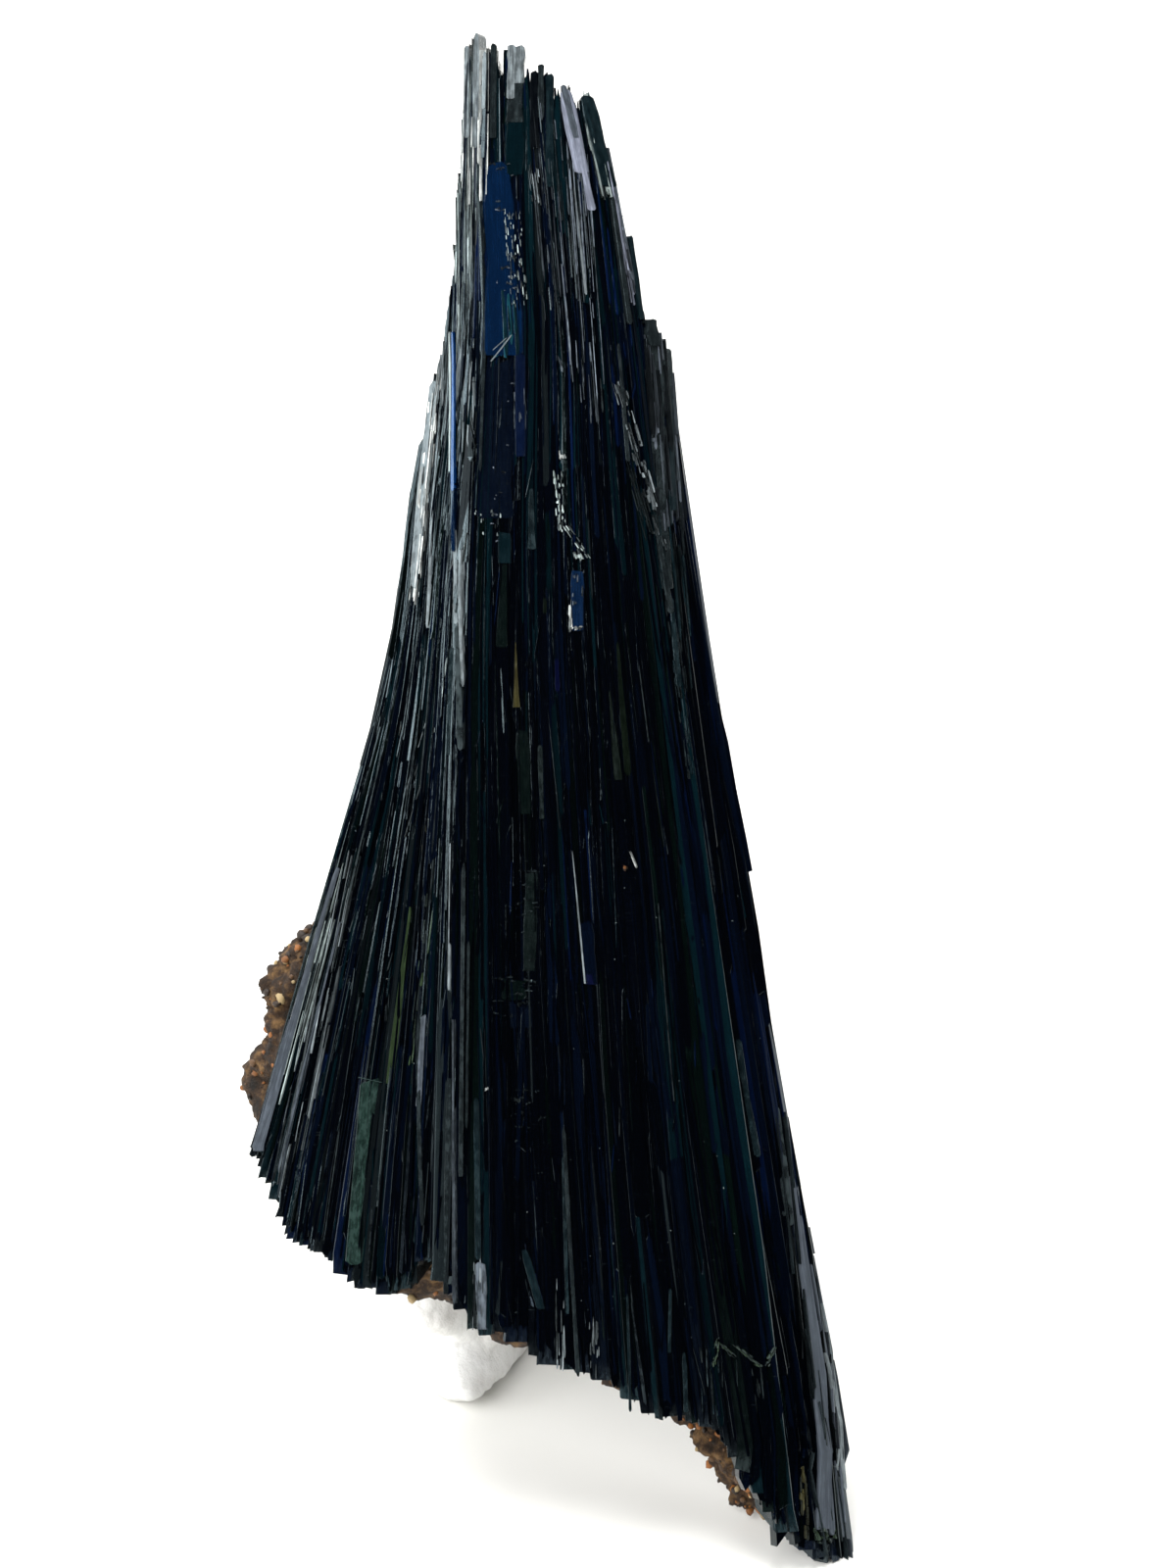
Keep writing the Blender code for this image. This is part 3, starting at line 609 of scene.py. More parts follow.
# Bundles of fine fibres, chips and specks, as (x low, height low, x top, height top, spread, count,
# narrowest, widest, shortest, longest, least and most that they stand proud, colour, frost, lean).
BUNDLES = (
    # fibres of the spire's left side and of the shoulder below it, with painted silver glints
    (0.44, 72.08, 0.5, 83.09, 1.29, 62, 0.05, 0.13, 1.5, 12, 0.22, 0.35, SILVER_GLINT, 0.5, 0.25),
    (0.5, 81.15, 0.5, 99.63, 1.55, 200, 0.05, 0.13, 1.5, 14, 0.22, 0.38, FROSTED, 0.6, 0.25),
    (0.83, 89.53, 0.96, 99.6, 1.94, 67, 0.05, 0.13, 1.5, 6, 0.31, 0.43, WHITE_AND_GLINT, 0.5, 0.3),
    (-2.85, 63.75, -1.6, 77.47, 0.77, 80, 0.05, 0.16, 0.8, 5, 0.34, 0.46, WHITE_AND_GLINT, 0.7, 0.35),
    (-1.2, 72.13, -0.87, 80.22, 0.52, 18, 0.04, 0.12, 1, 5, 0.34, 0.5, SILVER_GLINT, 0.5, 0.3),
    # streaks of the upper wing, painted silver glints
    (-4.11, 54.67, -1.2, 66.31, 3.23, 76, 0.04, 0.12, 0.8, 6, 0.07, 0.31, WHITE_AND_GLINT, 0.5, 0.35),
    (-5.3, 44.24, -2.12, 54.65, 3.87, 26, 0.04, 0.1, 0.8, 5, 0.07, 0.31, SILVER_GLINT, 0.5, 0.35),
    (-1.98, 50.76, -0.28, 66.28, 1.68, 16, 0.04, 0.12, 0.8, 7, 0.13, 0.37, FROSTED, 0.5, 0.35),
    (-7.97, 37.68, -3.31, 52.06, 4.52, 50, 0.04, 0.12, 2, 9, 0.07, 0.28, STEEL_SHEEN, 0.4, 0.35),
    # the band at the left corner, with painted lilac-silver glints
    (-13.22, 25.73, -7.97, 45.2, 1.29, 20, 0.04, 0.12, 2, 10, 0.42, 0.52, FROSTED, 0.5, 0.2),
    (-11.59, 25.13, -7.7, 44.22, 1.81, 44, 0.04, 0.12, 1.5, 9, 0.35, 0.5, SILVER_GLINT, 0.5, 0.3),
    # darker and greener streaks within the panel, its frayed right edge
    (2.91, 78.99, 2.65, 82.98, 1.94, 12, 0.15, 0.45, 1.5, 5, 0.34, 0.35, SEA, 0.2, 0.02),
    (3.81, 82.85, 3.42, 88, 1.16, 90, 0.03, 0.08, 0.1, 0.6, 0.35, 0.41, FROSTED, 0.6, 0.3),
    (3.23, 82.98, 2.84, 84.91, 1.94, 12, 0.15, 0.6, 0.04, 0.08, 0.35, 0.37, LILACGREY_SHEEN, 0.6, 0.1),
    (2.71, 90.71, 2.46, 91.74, 1.68, 8, 0.2, 0.7, 0.04, 0.08, 0.35, 0.37, LILACGREY_SHEEN, 0.7, 0.1),
    (3.94, 72.68, 3.87, 77.51, 0.77, 26, 0.05, 0.16, 0.3, 2, 0.19, 0.31, LILACGREY_SHEEN, 0.6, 0.4),
    (2.71, 88.46, 2.46, 89.1, 1.55, 8, 0.2, 0.6, 0.04, 0.08, 0.35, 0.37, LILACGREY_SHEEN, 0.7, 0.1),
    # painted lilac and silver glints on the spire's right side
    (11.29, 83.7, 9.35, 95.93, 0.84, 175, 0.05, 0.2, 1.5, 9, 0.25, 0.49, LILAC_SHEEN, 0.5, 0.25),
    (9.8, 89.46, 8.51, 96.07, 1.29, 110, 0.05, 0.2, 1.5, 7, 0.19, 0.43, FROSTED, 0.4, 0.3),
    (8.64, 76.53, 7.42, 93.29, 1.68, 66, 0.04, 0.15, 1, 8, 0.25, 0.5, LILACGREY_SHEEN, 0.7, 0.35),
    (6.77, 78.47, 5.29, 94.58, 1.94, 44, 0.04, 0.14, 1, 8, 0.15, 0.42, LILACGREY_SHEEN, 0.6, 0.4),
    (5.03, 89.1, 4.71, 91.68, 0.77, 16, 0.04, 0.1, 0.4, 1.6, 0.22, 0.38, SILVER_GLINT, 0.8, 0.4),
    # the jagged streak down from the right shoulder, a painted silver glint
    (12.97, 67.23, 10.58, 76.22, 0.77, 70, 0.04, 0.13, 0.2, 1.6, 0.25, 0.45, SILVER_GLINT, 0.7, 0.5),
    (14.85, 52.7, 12.97, 67.24, 0.45, 50, 0.03, 0.08, 0.5, 3, 0.2, 0.4, TEAL, 0.8, 0.4),
    (12.26, 67.22, 10.96, 72.03, 0.52, 20, 0.03, 0.08, 0.5, 3, 0.2, 0.4, GREY, 0.6, 0.4),
    (13.69, 68.89, 12.79, 79.77, 1.68, 60, 0.08, 0.36, 1, 7, 0.25, 0.46, LILACGREY_SHEEN, 0.25, 0.2),
    (14.86, 57.23, 13.83, 68.9, 1.03, 30, 0.06, 0.2, 1, 6, 0.19, 0.37, TEAL, 0.4, 0.3),
    # white chips of the middle
    (6.71, 72.1, 6.64, 72.74, 0.45, 6, 0.1, 0.3, 0.2, 0.5, 0.16, 0.28, WHITE_AND_GLINT, 0.9, 0.5),
    (6.64, 67.84, 6.39, 71.06, 0.58, 46, 0.05, 0.16, 0.15, 0.6, 0.2, 0.36, FROSTED, 0.9, 0.6),
    (8.26, 65.84, 6.9, 67.84, 0.52, 30, 0.04, 0.14, 0.15, 0.5, 0.2, 0.36, FROSTED, 0.9, 0.6),
    (7.87, 65.52, 7.61, 66.23, 0.45, 10, 0.08, 0.2, 0.15, 0.5, 0.2, 0.36, FROSTED, 0.9, 0.5),
    # the next two: a white L-shaped painted highlight along the left and lower edge of the small
    # blue inclusion
    (7.29, 60.88, 7.29, 62.49, 0.26, 10, 0.05, 0.14, 0.3, 1.2, 0.3, 0.4, WHITE_AND_GLINT, 0.7, 0.5),
    (7.55, 60.88, 7.55, 61.2, 0.71, 8, 0.1, 0.4, 0.08, 0.2, 0.3, 0.4, WHITE_AND_GLINT, 0.7, 0.3),
    (7.61, 62.49, 7.74, 64.81, 0.77, 14, 0.05, 0.16, 0.1, 0.6, 0.3, 0.4, LILACGREY_SHEEN, 0.7, 0.4),
    (6.97, 77.97, 6.64, 79, 0.65, 7, 0.06, 0.16, 0.3, 1, 0.1, 0.25, LILACGREY_SHEEN, 0.6, 0.4),
    (1.62, 67.2, 1.62, 68.81, 2.19, 14, 0.08, 0.22, 0.1, 0.3, 0.22, 0.27, FROSTED, 0.6, 0.2),
    (2.91, 67.2, 2.91, 76.54, 1.68, 14, 0.1, 0.5, 0.05, 0.12, 0.22, 0.28, LILACGREY_SHEEN, 0.4, 0.1),
    # yellow and green bits of the wing
    (-2.18, 44.93, -2.18, 48.82, 0.65, 14, 0.06, 0.22, 0.3, 1.6, 0.19, 0.34, OCHRE, 0.6, 0.4),
    (-3.3, 31.94, -1.91, 42.99, 0.65, 26, 0.05, 0.2, 0.6, 3, 0.19, 0.34, MOSSY, 0.6, 0.4),
    # frosted ends along the broken foot
    (1.3, 15.19, 1.3, 19.31, 0.97, 18, 0.05, 0.16, 0.4, 2.6, 0.19, 0.4, SILVER_GLINT, 0.7, 0.4),
    (6.52, 12.22, 6.45, 17.77, 0.65, 14, 0.05, 0.16, 0.4, 3, 0.19, 0.38, SILVER_GLINT, 0.7, 0.4),
    (8.84, 11.96, 8.84, 16.09, 0.9, 14, 0.05, 0.16, 0.4, 3, 0.16, 0.34, SILVER_GLINT, 0.7, 0.4),
    (17.09, 9.5, 16.89, 13.37, 2.58, 16, 0.05, 0.16, 0.4, 2.6, 0.13, 0.28, TEAL, 0.8, 0.4),
    (19.68, 8.81, 19.23, 12.68, 0.77, 8, 0.04, 0.1, 0.4, 2, 0.19, 0.34, GREY, 0.7, 0.4),
    (5.03, 16.6, 4.07, 20.34, 0.77, 16, 0.06, 0.24, 0.4, 2.6, 0.13, 0.28, DEEP_BLUE, 0.7, 0.4),
    # the zig-zag crack and the pale tip
    (16.63, 12.61, 16.96, 14.29, 0.26, 22, 0.05, 0.16, 0.1, 0.5, 0.3, 0.4, MOSSY, 0.9, 0.4),
    (17.92, 13.12, 17.08, 14.03, 0.32, 26, 0.05, 0.18, 0.1, 0.4, 0.3, 0.4, MOSSY, 0.9, 0.4),
    (19.49, 12.55, 18.18, 13.75, 0.32, 34, 0.05, 0.18, 0.1, 0.4, 0.3, 0.4, MOSSY, 0.9, 0.4),
    (20.08, 12.51, 20.54, 13.64, 0.26, 20, 0.05, 0.16, 0.1, 0.4, 0.3, 0.4, MOSSY, 0.9, 0.4),
    (24.11, 0.6, 23.84, 1.92, 1.55, 30, 0.1, 0.4, 0.1, 0.5, 0.28, 0.49, MOSSY, 0.9, 0.3),
    (22.64, 1.14, 22.52, 5.39, 0.52, 14, 0.06, 0.2, 0.4, 1.6, 0.28, 0.46, OCHRE, 0.8, 0.4),
    # long faces of the right edge, with painted lilac-grey reflections
    (24.38, 1.35, 21.42, 27.3, 1.68, 20, 0.08, 0.2, 3, 12, 0.4, 0.5, GREY, 0.2, 0.15),
    (25.19, 1.26, 23.55, 21.35, 0.52, 16, 0.05, 0.14, 1.5, 8, 0.42, 0.52, LILACGREY_SHEEN, 0.3, 0.3),
    # growth lines of the broad middle faces
    (3.68, 34.78, 3.68, 37.87, 2.84, 12, 0.3, 1.2, 0.05, 0.14, 0.18, 0.27, GREY, 0.5, 0.1),
    (4.52, 24.98, 4.52, 30.13, 1.94, 12, 0.2, 0.8, 0.05, 0.12, 0.16, 0.25, GREY, 0.4, 0.1),
    (4.39, 38.52, 4.39, 44.96, 1.16, 18, 0.2, 0.8, 0.05, 0.12, 0.22, 0.28, GREY, 0.4, 0.1),
    # dust and lint
    (10.32, 15.31, 10.32, 44.32, 18.71, 80, 0.02, 0.06, 0.02, 0.08, 0.2, 0.3, FROSTED, 1, 0.3),
    (-4.62, 24.76, -3.3, 44.27, 7.1, 20, 0.02, 0.06, 0.02, 0.08, 0.3, 0.4, FROSTED, 1, 0.3),
    (1.75, 30.65, 1.75, 30.91, 0.19, 2, 0.14, 0.22, 0.12, 0.2, 0.28, 0.34, WHITE_AND_GLINT, 1, 0.3),
    (11.61, 45.28, 11.16, 46.38, 0.13, 2, 0.06, 0.1, 0.9, 1.1, 0.3, 0.36, WHITE_AND_GLINT, 0.6, 0.3),
    (10.83, 45.09, 10.83, 45.48, 0.26, 3, 0.14, 0.26, 0.12, 0.24, 0.28, 0.34, RUST, 0.6, 0.3),
)  # fmt: skip


def bundles(blades):
    """The fibres of BUNDLES, strewn along each line and to both sides of it."""
    rng = blades.rng
    for x0, low, x1, top, spread, count, *sizes, tint, frost, lean in BUNDLES:
        narrow, wide, short, long, least, most = sizes
        length = short * (long / short) ** rng.random(count)
        start = low + (top - low - length) * rng.uniform(-0.15, 1.15, count)
        end = start + length
        aside = spread * (rng.random(count) - 0.5)
        turn0, turn1 = (
            turn_of(x0 + (x1 - x0) * (at - low) / (top - low) + aside, at) for at in (start, end)
        )
        turn = (turn0 + turn1) / 2
        start = np.maximum(start, foot_height(turn) + 0.1)
        end = np.minimum(end, along(TIPS, turn) + 0.3)
        blades.add(
            turn, start, end, narrow * (wide / narrow) ** rng.random(count),
            rng.uniform(least, most, count),
            np.array(tint) * (0.04 + 1.8 * rng.random(count) ** 2.4)[:, None],
            frost=frost * rng.uniform(0.5, 1, count), root=1.0, drift=turn1 - turn0,
            tilt=rng.normal(0, lean, count), bevel=rng.uniform(0.02, 0.2, count),
            chisel=rng.uniform(0.1, 1, count), slant=rng.uniform(-1, 1, count),
            foot_slant=rng.uniform(-1, 1, count), edge=0.75, taper=rng.uniform(0, 0.8, count),
        )  # fmt: skip


def marked_blades(blades):
    """The blades of MARKED, each along its own line."""
    rng = blades.rng
    for x0, low, x1, top, width, proud, tint, frost, chisel in MARKED:
        start, end = turn_of(x0, low), turn_of(x1, top)
        blades.add(
            (start + end) / 2, low, top, width, proud, tint, frost=frost, drift=end - start,
            root=1.2, tilt=rng.normal(0, 0.04), bevel=0.08, chisel=abs(chisel),
            taper=max(-chisel, 0.0), slant=rng.uniform(-0.5, 0.5),
        )  # fmt: skip


def heart_mesh():
    """The fan without its blades: level sections of its surface, drawn in a little and stacked."""
    rows, columns, inset = 24, 33, 0.55
    above_foot, below_tips = 1.2, 4.0
    turn = [np.linspace(*ends, columns) for ends in ((-0.97, 0.97), (1.43, 3.37))]
    turn = np.concatenate(turn)
    low = foot_height(turn) + above_foot
    high = along(TIPS, turn) - below_tips
    height = low + (high - low) * np.linspace(0, 1, rows)[:, None]
    point, _, outward = skin_frame(turn + 0 * height, height)
    points = np.concatenate([point - inset * outward, height[..., None]], axis=-1).reshape(-1, 3)
    count = len(points)
    return mesh_from(
        "heart", world(points), bar_faces(1, rows, 2 * columns), smooth=False,
        grain=points, tint=np.tile(np.array(INK), (count, 1)), frost=np.full((count, 1), 0.1),
    )  # fmt: skip


# ---- the materials ----


def feed(tree, socket, value):
    """Joins an output to a socket, or sets the socket. A colour is given without its alpha."""
    if hasattr(value, "links"):
        tree.links.new(value, socket)
    else:
        socket.default_value = (*value, 1) if socket.type == "RGBA" else value


def wire(tree, made, **values):
    """Sets a node's properties by name, and sets or feeds its sockets by name."""
    for key, value in values.items():
        if hasattr(made, key):
            setattr(made, key, value)
        else:
            feed(tree, made.inputs[key.replace("_", " ")], value)


def node(tree, kind, *inputs, **values):
    """A node with its first sockets in order, and its properties and other sockets by name."""
    made = tree.nodes.new(kind)
    wire(tree, made, **values)
    for socket, value in zip(made.inputs, inputs):
        feed(tree, socket, value)
    return made


def new_material(name):
    """A material, its node tree and its Principled shader."""
    material = bpy.data.materials.new(name)
    material.use_nodes = True
    return material, material.node_tree, material.node_tree.nodes["Principled BSDF"]


def maths(tree, operation, a, b, clamp=False):
    """The result of one sum or product."""
    return node(tree, "ShaderNodeMath", a, b, operation=operation, use_clamp=clamp).outputs[0]


def mix(tree, factor, a, b, blend="MIX"):
    """One colour mixed into another."""
    made = node(tree, "ShaderNodeMix", factor, data_type="RGBA", blend_type=blend)
    feed(tree, made.inputs[6], a)
    feed(tree, made.inputs[7], b)
    return made.outputs[2]


def map_range(tree, value, low, high, start=0.0, end=1.0, smooth=False):
    """A value from low to high spread from start to end, and held at both ends."""
    made = node(tree, "ShaderNodeMapRange", value, low, high, start, end)
    made.interpolation_type = "SMOOTHSTEP" if smooth else "LINEAR"
    return made.outputs["Result"]


def crystal_material():
    """Glassy near-black crystal with each blade's own tint, streaks along it, cracks with a faint
    painted glint, and frost.
    """
    deep, muted = (0.0002, 0.0004, 0.0010), (0.75, 0.75, 0.75)
    bloom, crack_glint = (0.020, 0.026, 0.027), (0.06, 0.09, 0.10)
    material, tree, shader = new_material("vivianite")
    add, times = partial(maths, tree, "ADD"), partial(maths, tree, "MULTIPLY")
    grain, tint, frost = (
        node(tree, "ShaderNodeAttribute", attribute_name=name).outputs
        for name in ("grain", "tint", "frost")
    )
    tint, frost = tint["Color"], frost["Fac"]

    def streaks(across_scale, along_scale, detail, low, high):
        """Noise stretched along the blades, in millimetres, and its contrast."""
        stretch = (across_scale, along_scale, 1)
        place = node(tree, "ShaderNodeVectorMath", grain["Vector"], stretch, operation="MULTIPLY")
        noise = node(tree, "ShaderNodeTexNoise", place.outputs[0])
        wire(tree, noise, Scale=1.0, Detail=detail, Roughness=0.6)
        return map_range(tree, noise.outputs["Fac"], low, high)

    fine = streaks(9.0, 0.30, 4.0, 0.40, 0.66)
    broad = streaks(1.1, 0.06, 2.0, 0.4, 0.72)
    cloud = streaks(3.0, 1.20, 5.0, 0.40, 0.68)
    crack = streaks(0.5, 7.0, 2.0, 0.66, 0.76)

    streaked = add(times(fine, add(cloud, 0.5)), 0.12)
    streaked = maths(tree, "SUBTRACT", streaked, times(broad, 0.4), clamp=True)
    contrast = add(times(frost, 1.2), 0.3, clamp=True)
    lit = mix(tree, mix(tree, contrast, muted, streaked), deep, tint)
    whitened = times(frost, add(cloud, 0.35), clamp=True)
    lit = mix(tree, times(whitened, 0.7), lit, mix(tree, 1.0, tint, bloom, "ADD"))
    # Painted highlight: along the cracks the colour is mixed up to 3% toward a pale teal-grey
    # glint.
    lit = mix(tree, times(crack, 0.03), lit, crack_glint)
    rough = add(add(times(fine, 0.08), 0.05), times(whitened, 0.45), clamp=True)
    relief = add(add(fine, times(crack, -0.8)), times(times(cloud, whitened), 1.5))
    bump = node(tree, "ShaderNodeBump", Strength=0.5, Distance=0.00001, Height=relief)
    wire(tree, shader, IOR=1.6, Specular_IOR_Level=0.36, Specular_Tint=(0.70, 0.92, 1.0))
    wire(tree, shader, Base_Color=lit, Roughness=rough, Normal=bump.outputs["Normal"])
    return material


def crumb_material():
    """Earthy grains, each in its own tint."""
    material, tree, shader = new_material("crumbs")
    tint = node(tree, "ShaderNodeAttribute", attribute_name="tint")
    wire(tree, shader, Base_Color=tint.outputs["Color"], Roughness=0.6)
    return material


def earthy_material(name, colours, scale, rough, depth):
    """Noise in three colours over the piece's own Object coordinates, with a crumbly bump."""
    material, tree, shader = new_material(name)
    where = node(tree, "ShaderNodeTexCoord").outputs["Object"]
    broad = node(tree, "ShaderNodeTexNoise", where, Scale=scale, Detail=6.0, Roughness=0.65)
    fine = node(tree, "ShaderNodeTexNoise", where, Scale=scale * 6, Detail=4.0, Roughness=0.7)
    shades = node(tree, "ShaderNodeValToRGB", broad.outputs["Fac"])
    dark, pale = shades.color_ramp.elements
    dark.position, dark.color = 0.36, (*colours[0], 1)
    pale.position, pale.color = 0.68, (*colours[2], 1)
    shades.color_ramp.elements.new(0.5).color = (*colours[1], 1)
    relief = fine.outputs["Fac"]
    bump = node(tree, "ShaderNodeBump", Strength=0.7, Distance=depth, Height=relief)
    wire(tree, shader, Base_Color=shades.outputs["Color"], Roughness=rough)
    wire(tree, shader, Normal=bump.outputs["Normal"])
    return material


# ---- crust and putty ----

# The crust's middle line, as (x, height, depth, radius).
CRUST_LINE = (
    (-8.8, 40.6, 12.2, 1.3), (-10.3, 38.4, 12.6, 2.3), (-10.5, 35.2, 12.9, 2.6),
    (-10.4, 31.2, 13.3, 3.1), (-9.3, 25.8, 13.6, 3.9), (-6.2, 23.0, 12.6, 3.6),
    (-2.2, 20.3, 8.2, 3.0), (3.2, 18.6, 9.8, 3.6), (8.5, 15.4, 9.6, 3.3), (13.2, 12.5, 9.0, 2.8),
    (17.7, 9.2, 7.6, 1.8), (19.2, 5.9, 7.0, 1.9), (20.6, 3.8, 6.8, 1.8), (21.6, 2.8, 6.5, 1.3),
)  # fmt: skip

# The putty's middle and base outline as seen from above, and its (height, scale, shift x, shift y).
PUTTY_MIDDLE = (-2.0, 36.0)
PUTTY_BASE = (
    (0.4, 20.4), (-1.4, 20.5), (-5.4, 24.9), (-10.2, 32.2), (-12.6, 39.0), (-11.0, 46.5),
    (-3.5, 50.5), (4.0, 49.0), (8.0, 42.0), (6.6, 33.0), (4.0, 26.5),
)  # fmt: skip
PUTTY_LEVELS = (
    (0.0, 1.00, 0.0, 0.0), (2.0, 1.05, 0.0, 0.3), (5.0, 1.10, -0.6, -0.2),
    (9.0, 1.13, -1.4, -1.5), (13.0, 1.08, -1.8, -2.6), (17.0, 0.90, -1.5, -2.6),
    (21.0, 0.62, -0.8, -1.6), (23.5, 0.28, 0.0, -1.0),
)  # fmt: skip
PUTTY_TOP, PUTTY_HEART = 23.6, 8.0

# Grains of the crust and of the putty, as (size, depth).
CRUST_GRAINS = ((2.1, 0.6), (1.0, 0.5), (0.5, 0.3))
PUTTY_GRAINS = ((5.0, 0.9), (2.1, 0.5), (0.9, 0.2))
GRAIN_PLACES = 8192
GRAIN_PRIMES = (7919, 104729, 1299709)


def grains(points, size, seed):
    """Height of rounded grains at each point: 1 over a grain's centre, 0 in the gaps.

    Space is cut into cubes of this size, each with one centre at random in it, and the height is 1
    less the square of the distance to the nearest centre, in cubes.
    """
    table = np.random.default_rng(seed).random((GRAIN_PLACES, 4))
    place = points / size
    cube = np.floor(place).astype(np.int64)
    nearest = np.full(len(points), 9.0)
    for step in np.ndindex(3, 3, 3):
        corner = cube + np.array(step) - 1
        pick = (corner @ np.array(GRAIN_PRIMES)) % GRAIN_PLACES
        gap = ((place - corner - table[pick, :3]) ** 2).sum(axis=1) * (0.8 + table[pick, 3])
        nearest = np.minimum(nearest, gap)
    return np.clip(1 - nearest, 0, 1)


def roughened(points, out, sizes, seed, sunk=0.0, strength=1.0):
    """Points pushed out by grains of several sizes, less a share of each size's depth."""
    for size, depth in sizes:
        push = depth * (grains(points, size, seed) - sunk) * strength
        points, seed = points + out * push[:, None], seed + 1
    return points


def resampled(table, count, endpoint=True):
    """The columns of a table, read off at even steps from its first row to its last."""
    table = np.array(table)
    places = np.linspace(0, 1, count, endpoint=endpoint)
    knots = np.linspace(0, 1, len(table))
    return np.stack([np.interp(places, knots, column) for column in table.T], axis=1)


def unit(vectors):
    """The same directions, with a length of 1."""
    return vectors / np.linalg.norm(vectors, axis=-1, keepdims=True)


def closed_tube(name, rings, ends):
    """Rings of points (ring, place, 3) joined to a smooth tube, closed to a point at both ends."""
    rows, around = rings.shape[:2]
    i, j = np.meshgrid(np.arange(rows - 1) * around, np.arange(around), indexing="ij")
    i, j = i.ravel(), j.ravel()
    k = (j + 1) % around
    wall = np.stack([i + j, i + around + j, i + around + k, i + k], axis=1)
    count = rows * around
    last = count - around
    caps = [(count, j, (j + 1) % around) for j in range(around)]
    caps += [(count + 1, last + (j + 1) % around, last + j) for j in range(around)]
    mesh = bpy.data.meshes.new(name)
    points = np.concatenate([rings.reshape(-1, 3), ends])
    mesh.from_pydata(points.tolist(), [], wall.tolist() + caps)
    mesh.polygons.foreach_set("use_smooth", np.ones(len(mesh.polygons), bool))
    mesh.update()
    return mesh


def crust_rings():
    """A lumpy tube along CRUST_LINE, roughened outwards by hundreds of grains of three sizes.

    A ring's points lie round the smoothed line at its radius times 0.9 and the sum of four waves.
    """
    rows, columns, smoothings, bluntness = 300, 100, 30, 2.4
    line = resampled(CRUST_LINE, rows)
    path = line[:, [0, 2, 1]]
    t = np.linspace(0, 1, rows)
    rounded = np.sqrt(np.clip(np.sin(math.pi * (0.01 + 0.98 * t)) * bluntness, 0, 1))
    radius = line[:, 3] * rounded
    heading = np.gradient(path, axis=0)
    for _ in range(smoothings):
        heading[1:-1] = (heading[:-2] + heading[1:-1] + heading[2:]) / 3
    heading = unit(heading)
    inward = unit(np.array([0.0, 1.0, 0.0]) - heading[:, 1:2] * heading)
    sideways = np.cross(heading, inward)
    turn = np.linspace(0, 2 * math.pi, columns, endpoint=False)
    around, length = np.meshgrid(turn, t)
    lumps = (
        0.13 * np.sin(3 * around + 21 * length)
        + 0.11 * np.sin(5 * around - 37 * length + 1.0)
        + 0.08 * np.cos(2 * around + 55 * length)
        + 0.07 * np.sin(7 * around + 71 * length + 2.0)
    )
    out = np.cos(around)[..., None] * sideways[:, None]
    out = out + np.sin(around)[..., None] * inward[:, None]
    points = path[:, None] + (radius[:, None] * (0.9 + lumps))[..., None] * out
    points = roughened(points.reshape(-1, 3), out.reshape(-1, 3), CRUST_GRAINS, seed=0)
    return points.reshape(rows, columns, 3)


def rounded_cube():
    """The 26 corners, edge middles and face middles of a cube pushed out to one distance."""
    steps = (-1, 0, 1)
    grid = [(x, y, z) for x in steps for y in steps for z in steps if (x, y, z) != (0, 0, 0)]
    quads = []
    for axis in range(3):
        for sign in (-1, 1):
            outwards = -sign if axis == 1 else sign
            for u, v in np.ndindex(2, 2):
                ring = [(u - 1, v - 1), (u, v - 1), (u, v), (u - 1, v)][::outwards]
                quads.append([grid.index((*c[:axis], sign, *c[axis:])) for c in ring])
    return unit(np.array(grid, float)), np.array(quads)


def crumbs_mesh(points, count, seed):
    """Many small rounded grains on a surface, each a ball squashed and turned at random."""
    smallest, largest, uneven = 0.10, 0.42, 0.16
    shades = ((0.016, 0.009, 0.005), (0.07, 0.036, 0.015), (0.20, 0.075, 0.018), (0.30, 0.22, 0.11))
    shade_ends = (0.34, 0.62, 0.86)
    rng = np.random.default_rng(seed)
    ball, quads = rounded_cube()
    corners = len(ball)
    pick = rng.integers(0, len(points), count)
    size = smallest * (largest / smallest) ** (rng.random(count) ** 1.5)
    spin = np.linalg.qr(rng.standard_normal((count, 3, 3)))[0]
    spin *= np.sign(np.linalg.det(spin))[:, None, None]
    shaped = ball * (1 + uneven * rng.standard_normal((count, corners, 3)))
    shaped = np.einsum("nkj,nij->nki", shaped * rng.uniform(0.6, 1.2, (count, 1, 3)), spin)
    places = points[pick][:, None] + shaped * size[:, None, None]
    places = world(places.reshape(-1, 3))
    faces = (quads[None] + (np.arange(count) * corners)[:, None, None]).reshape(-1, 4)
    tint = np.array(shades)[(rng.random(count)[:, None] > np.array(shade_ends)).sum(axis=1)]
    tint = np.repeat(tint * rng.uniform(0.7, 1.3, (count, 1)), corners, axis=0)
    return mesh_from("crumbs", places, faces, smooth=True, tint=tint)


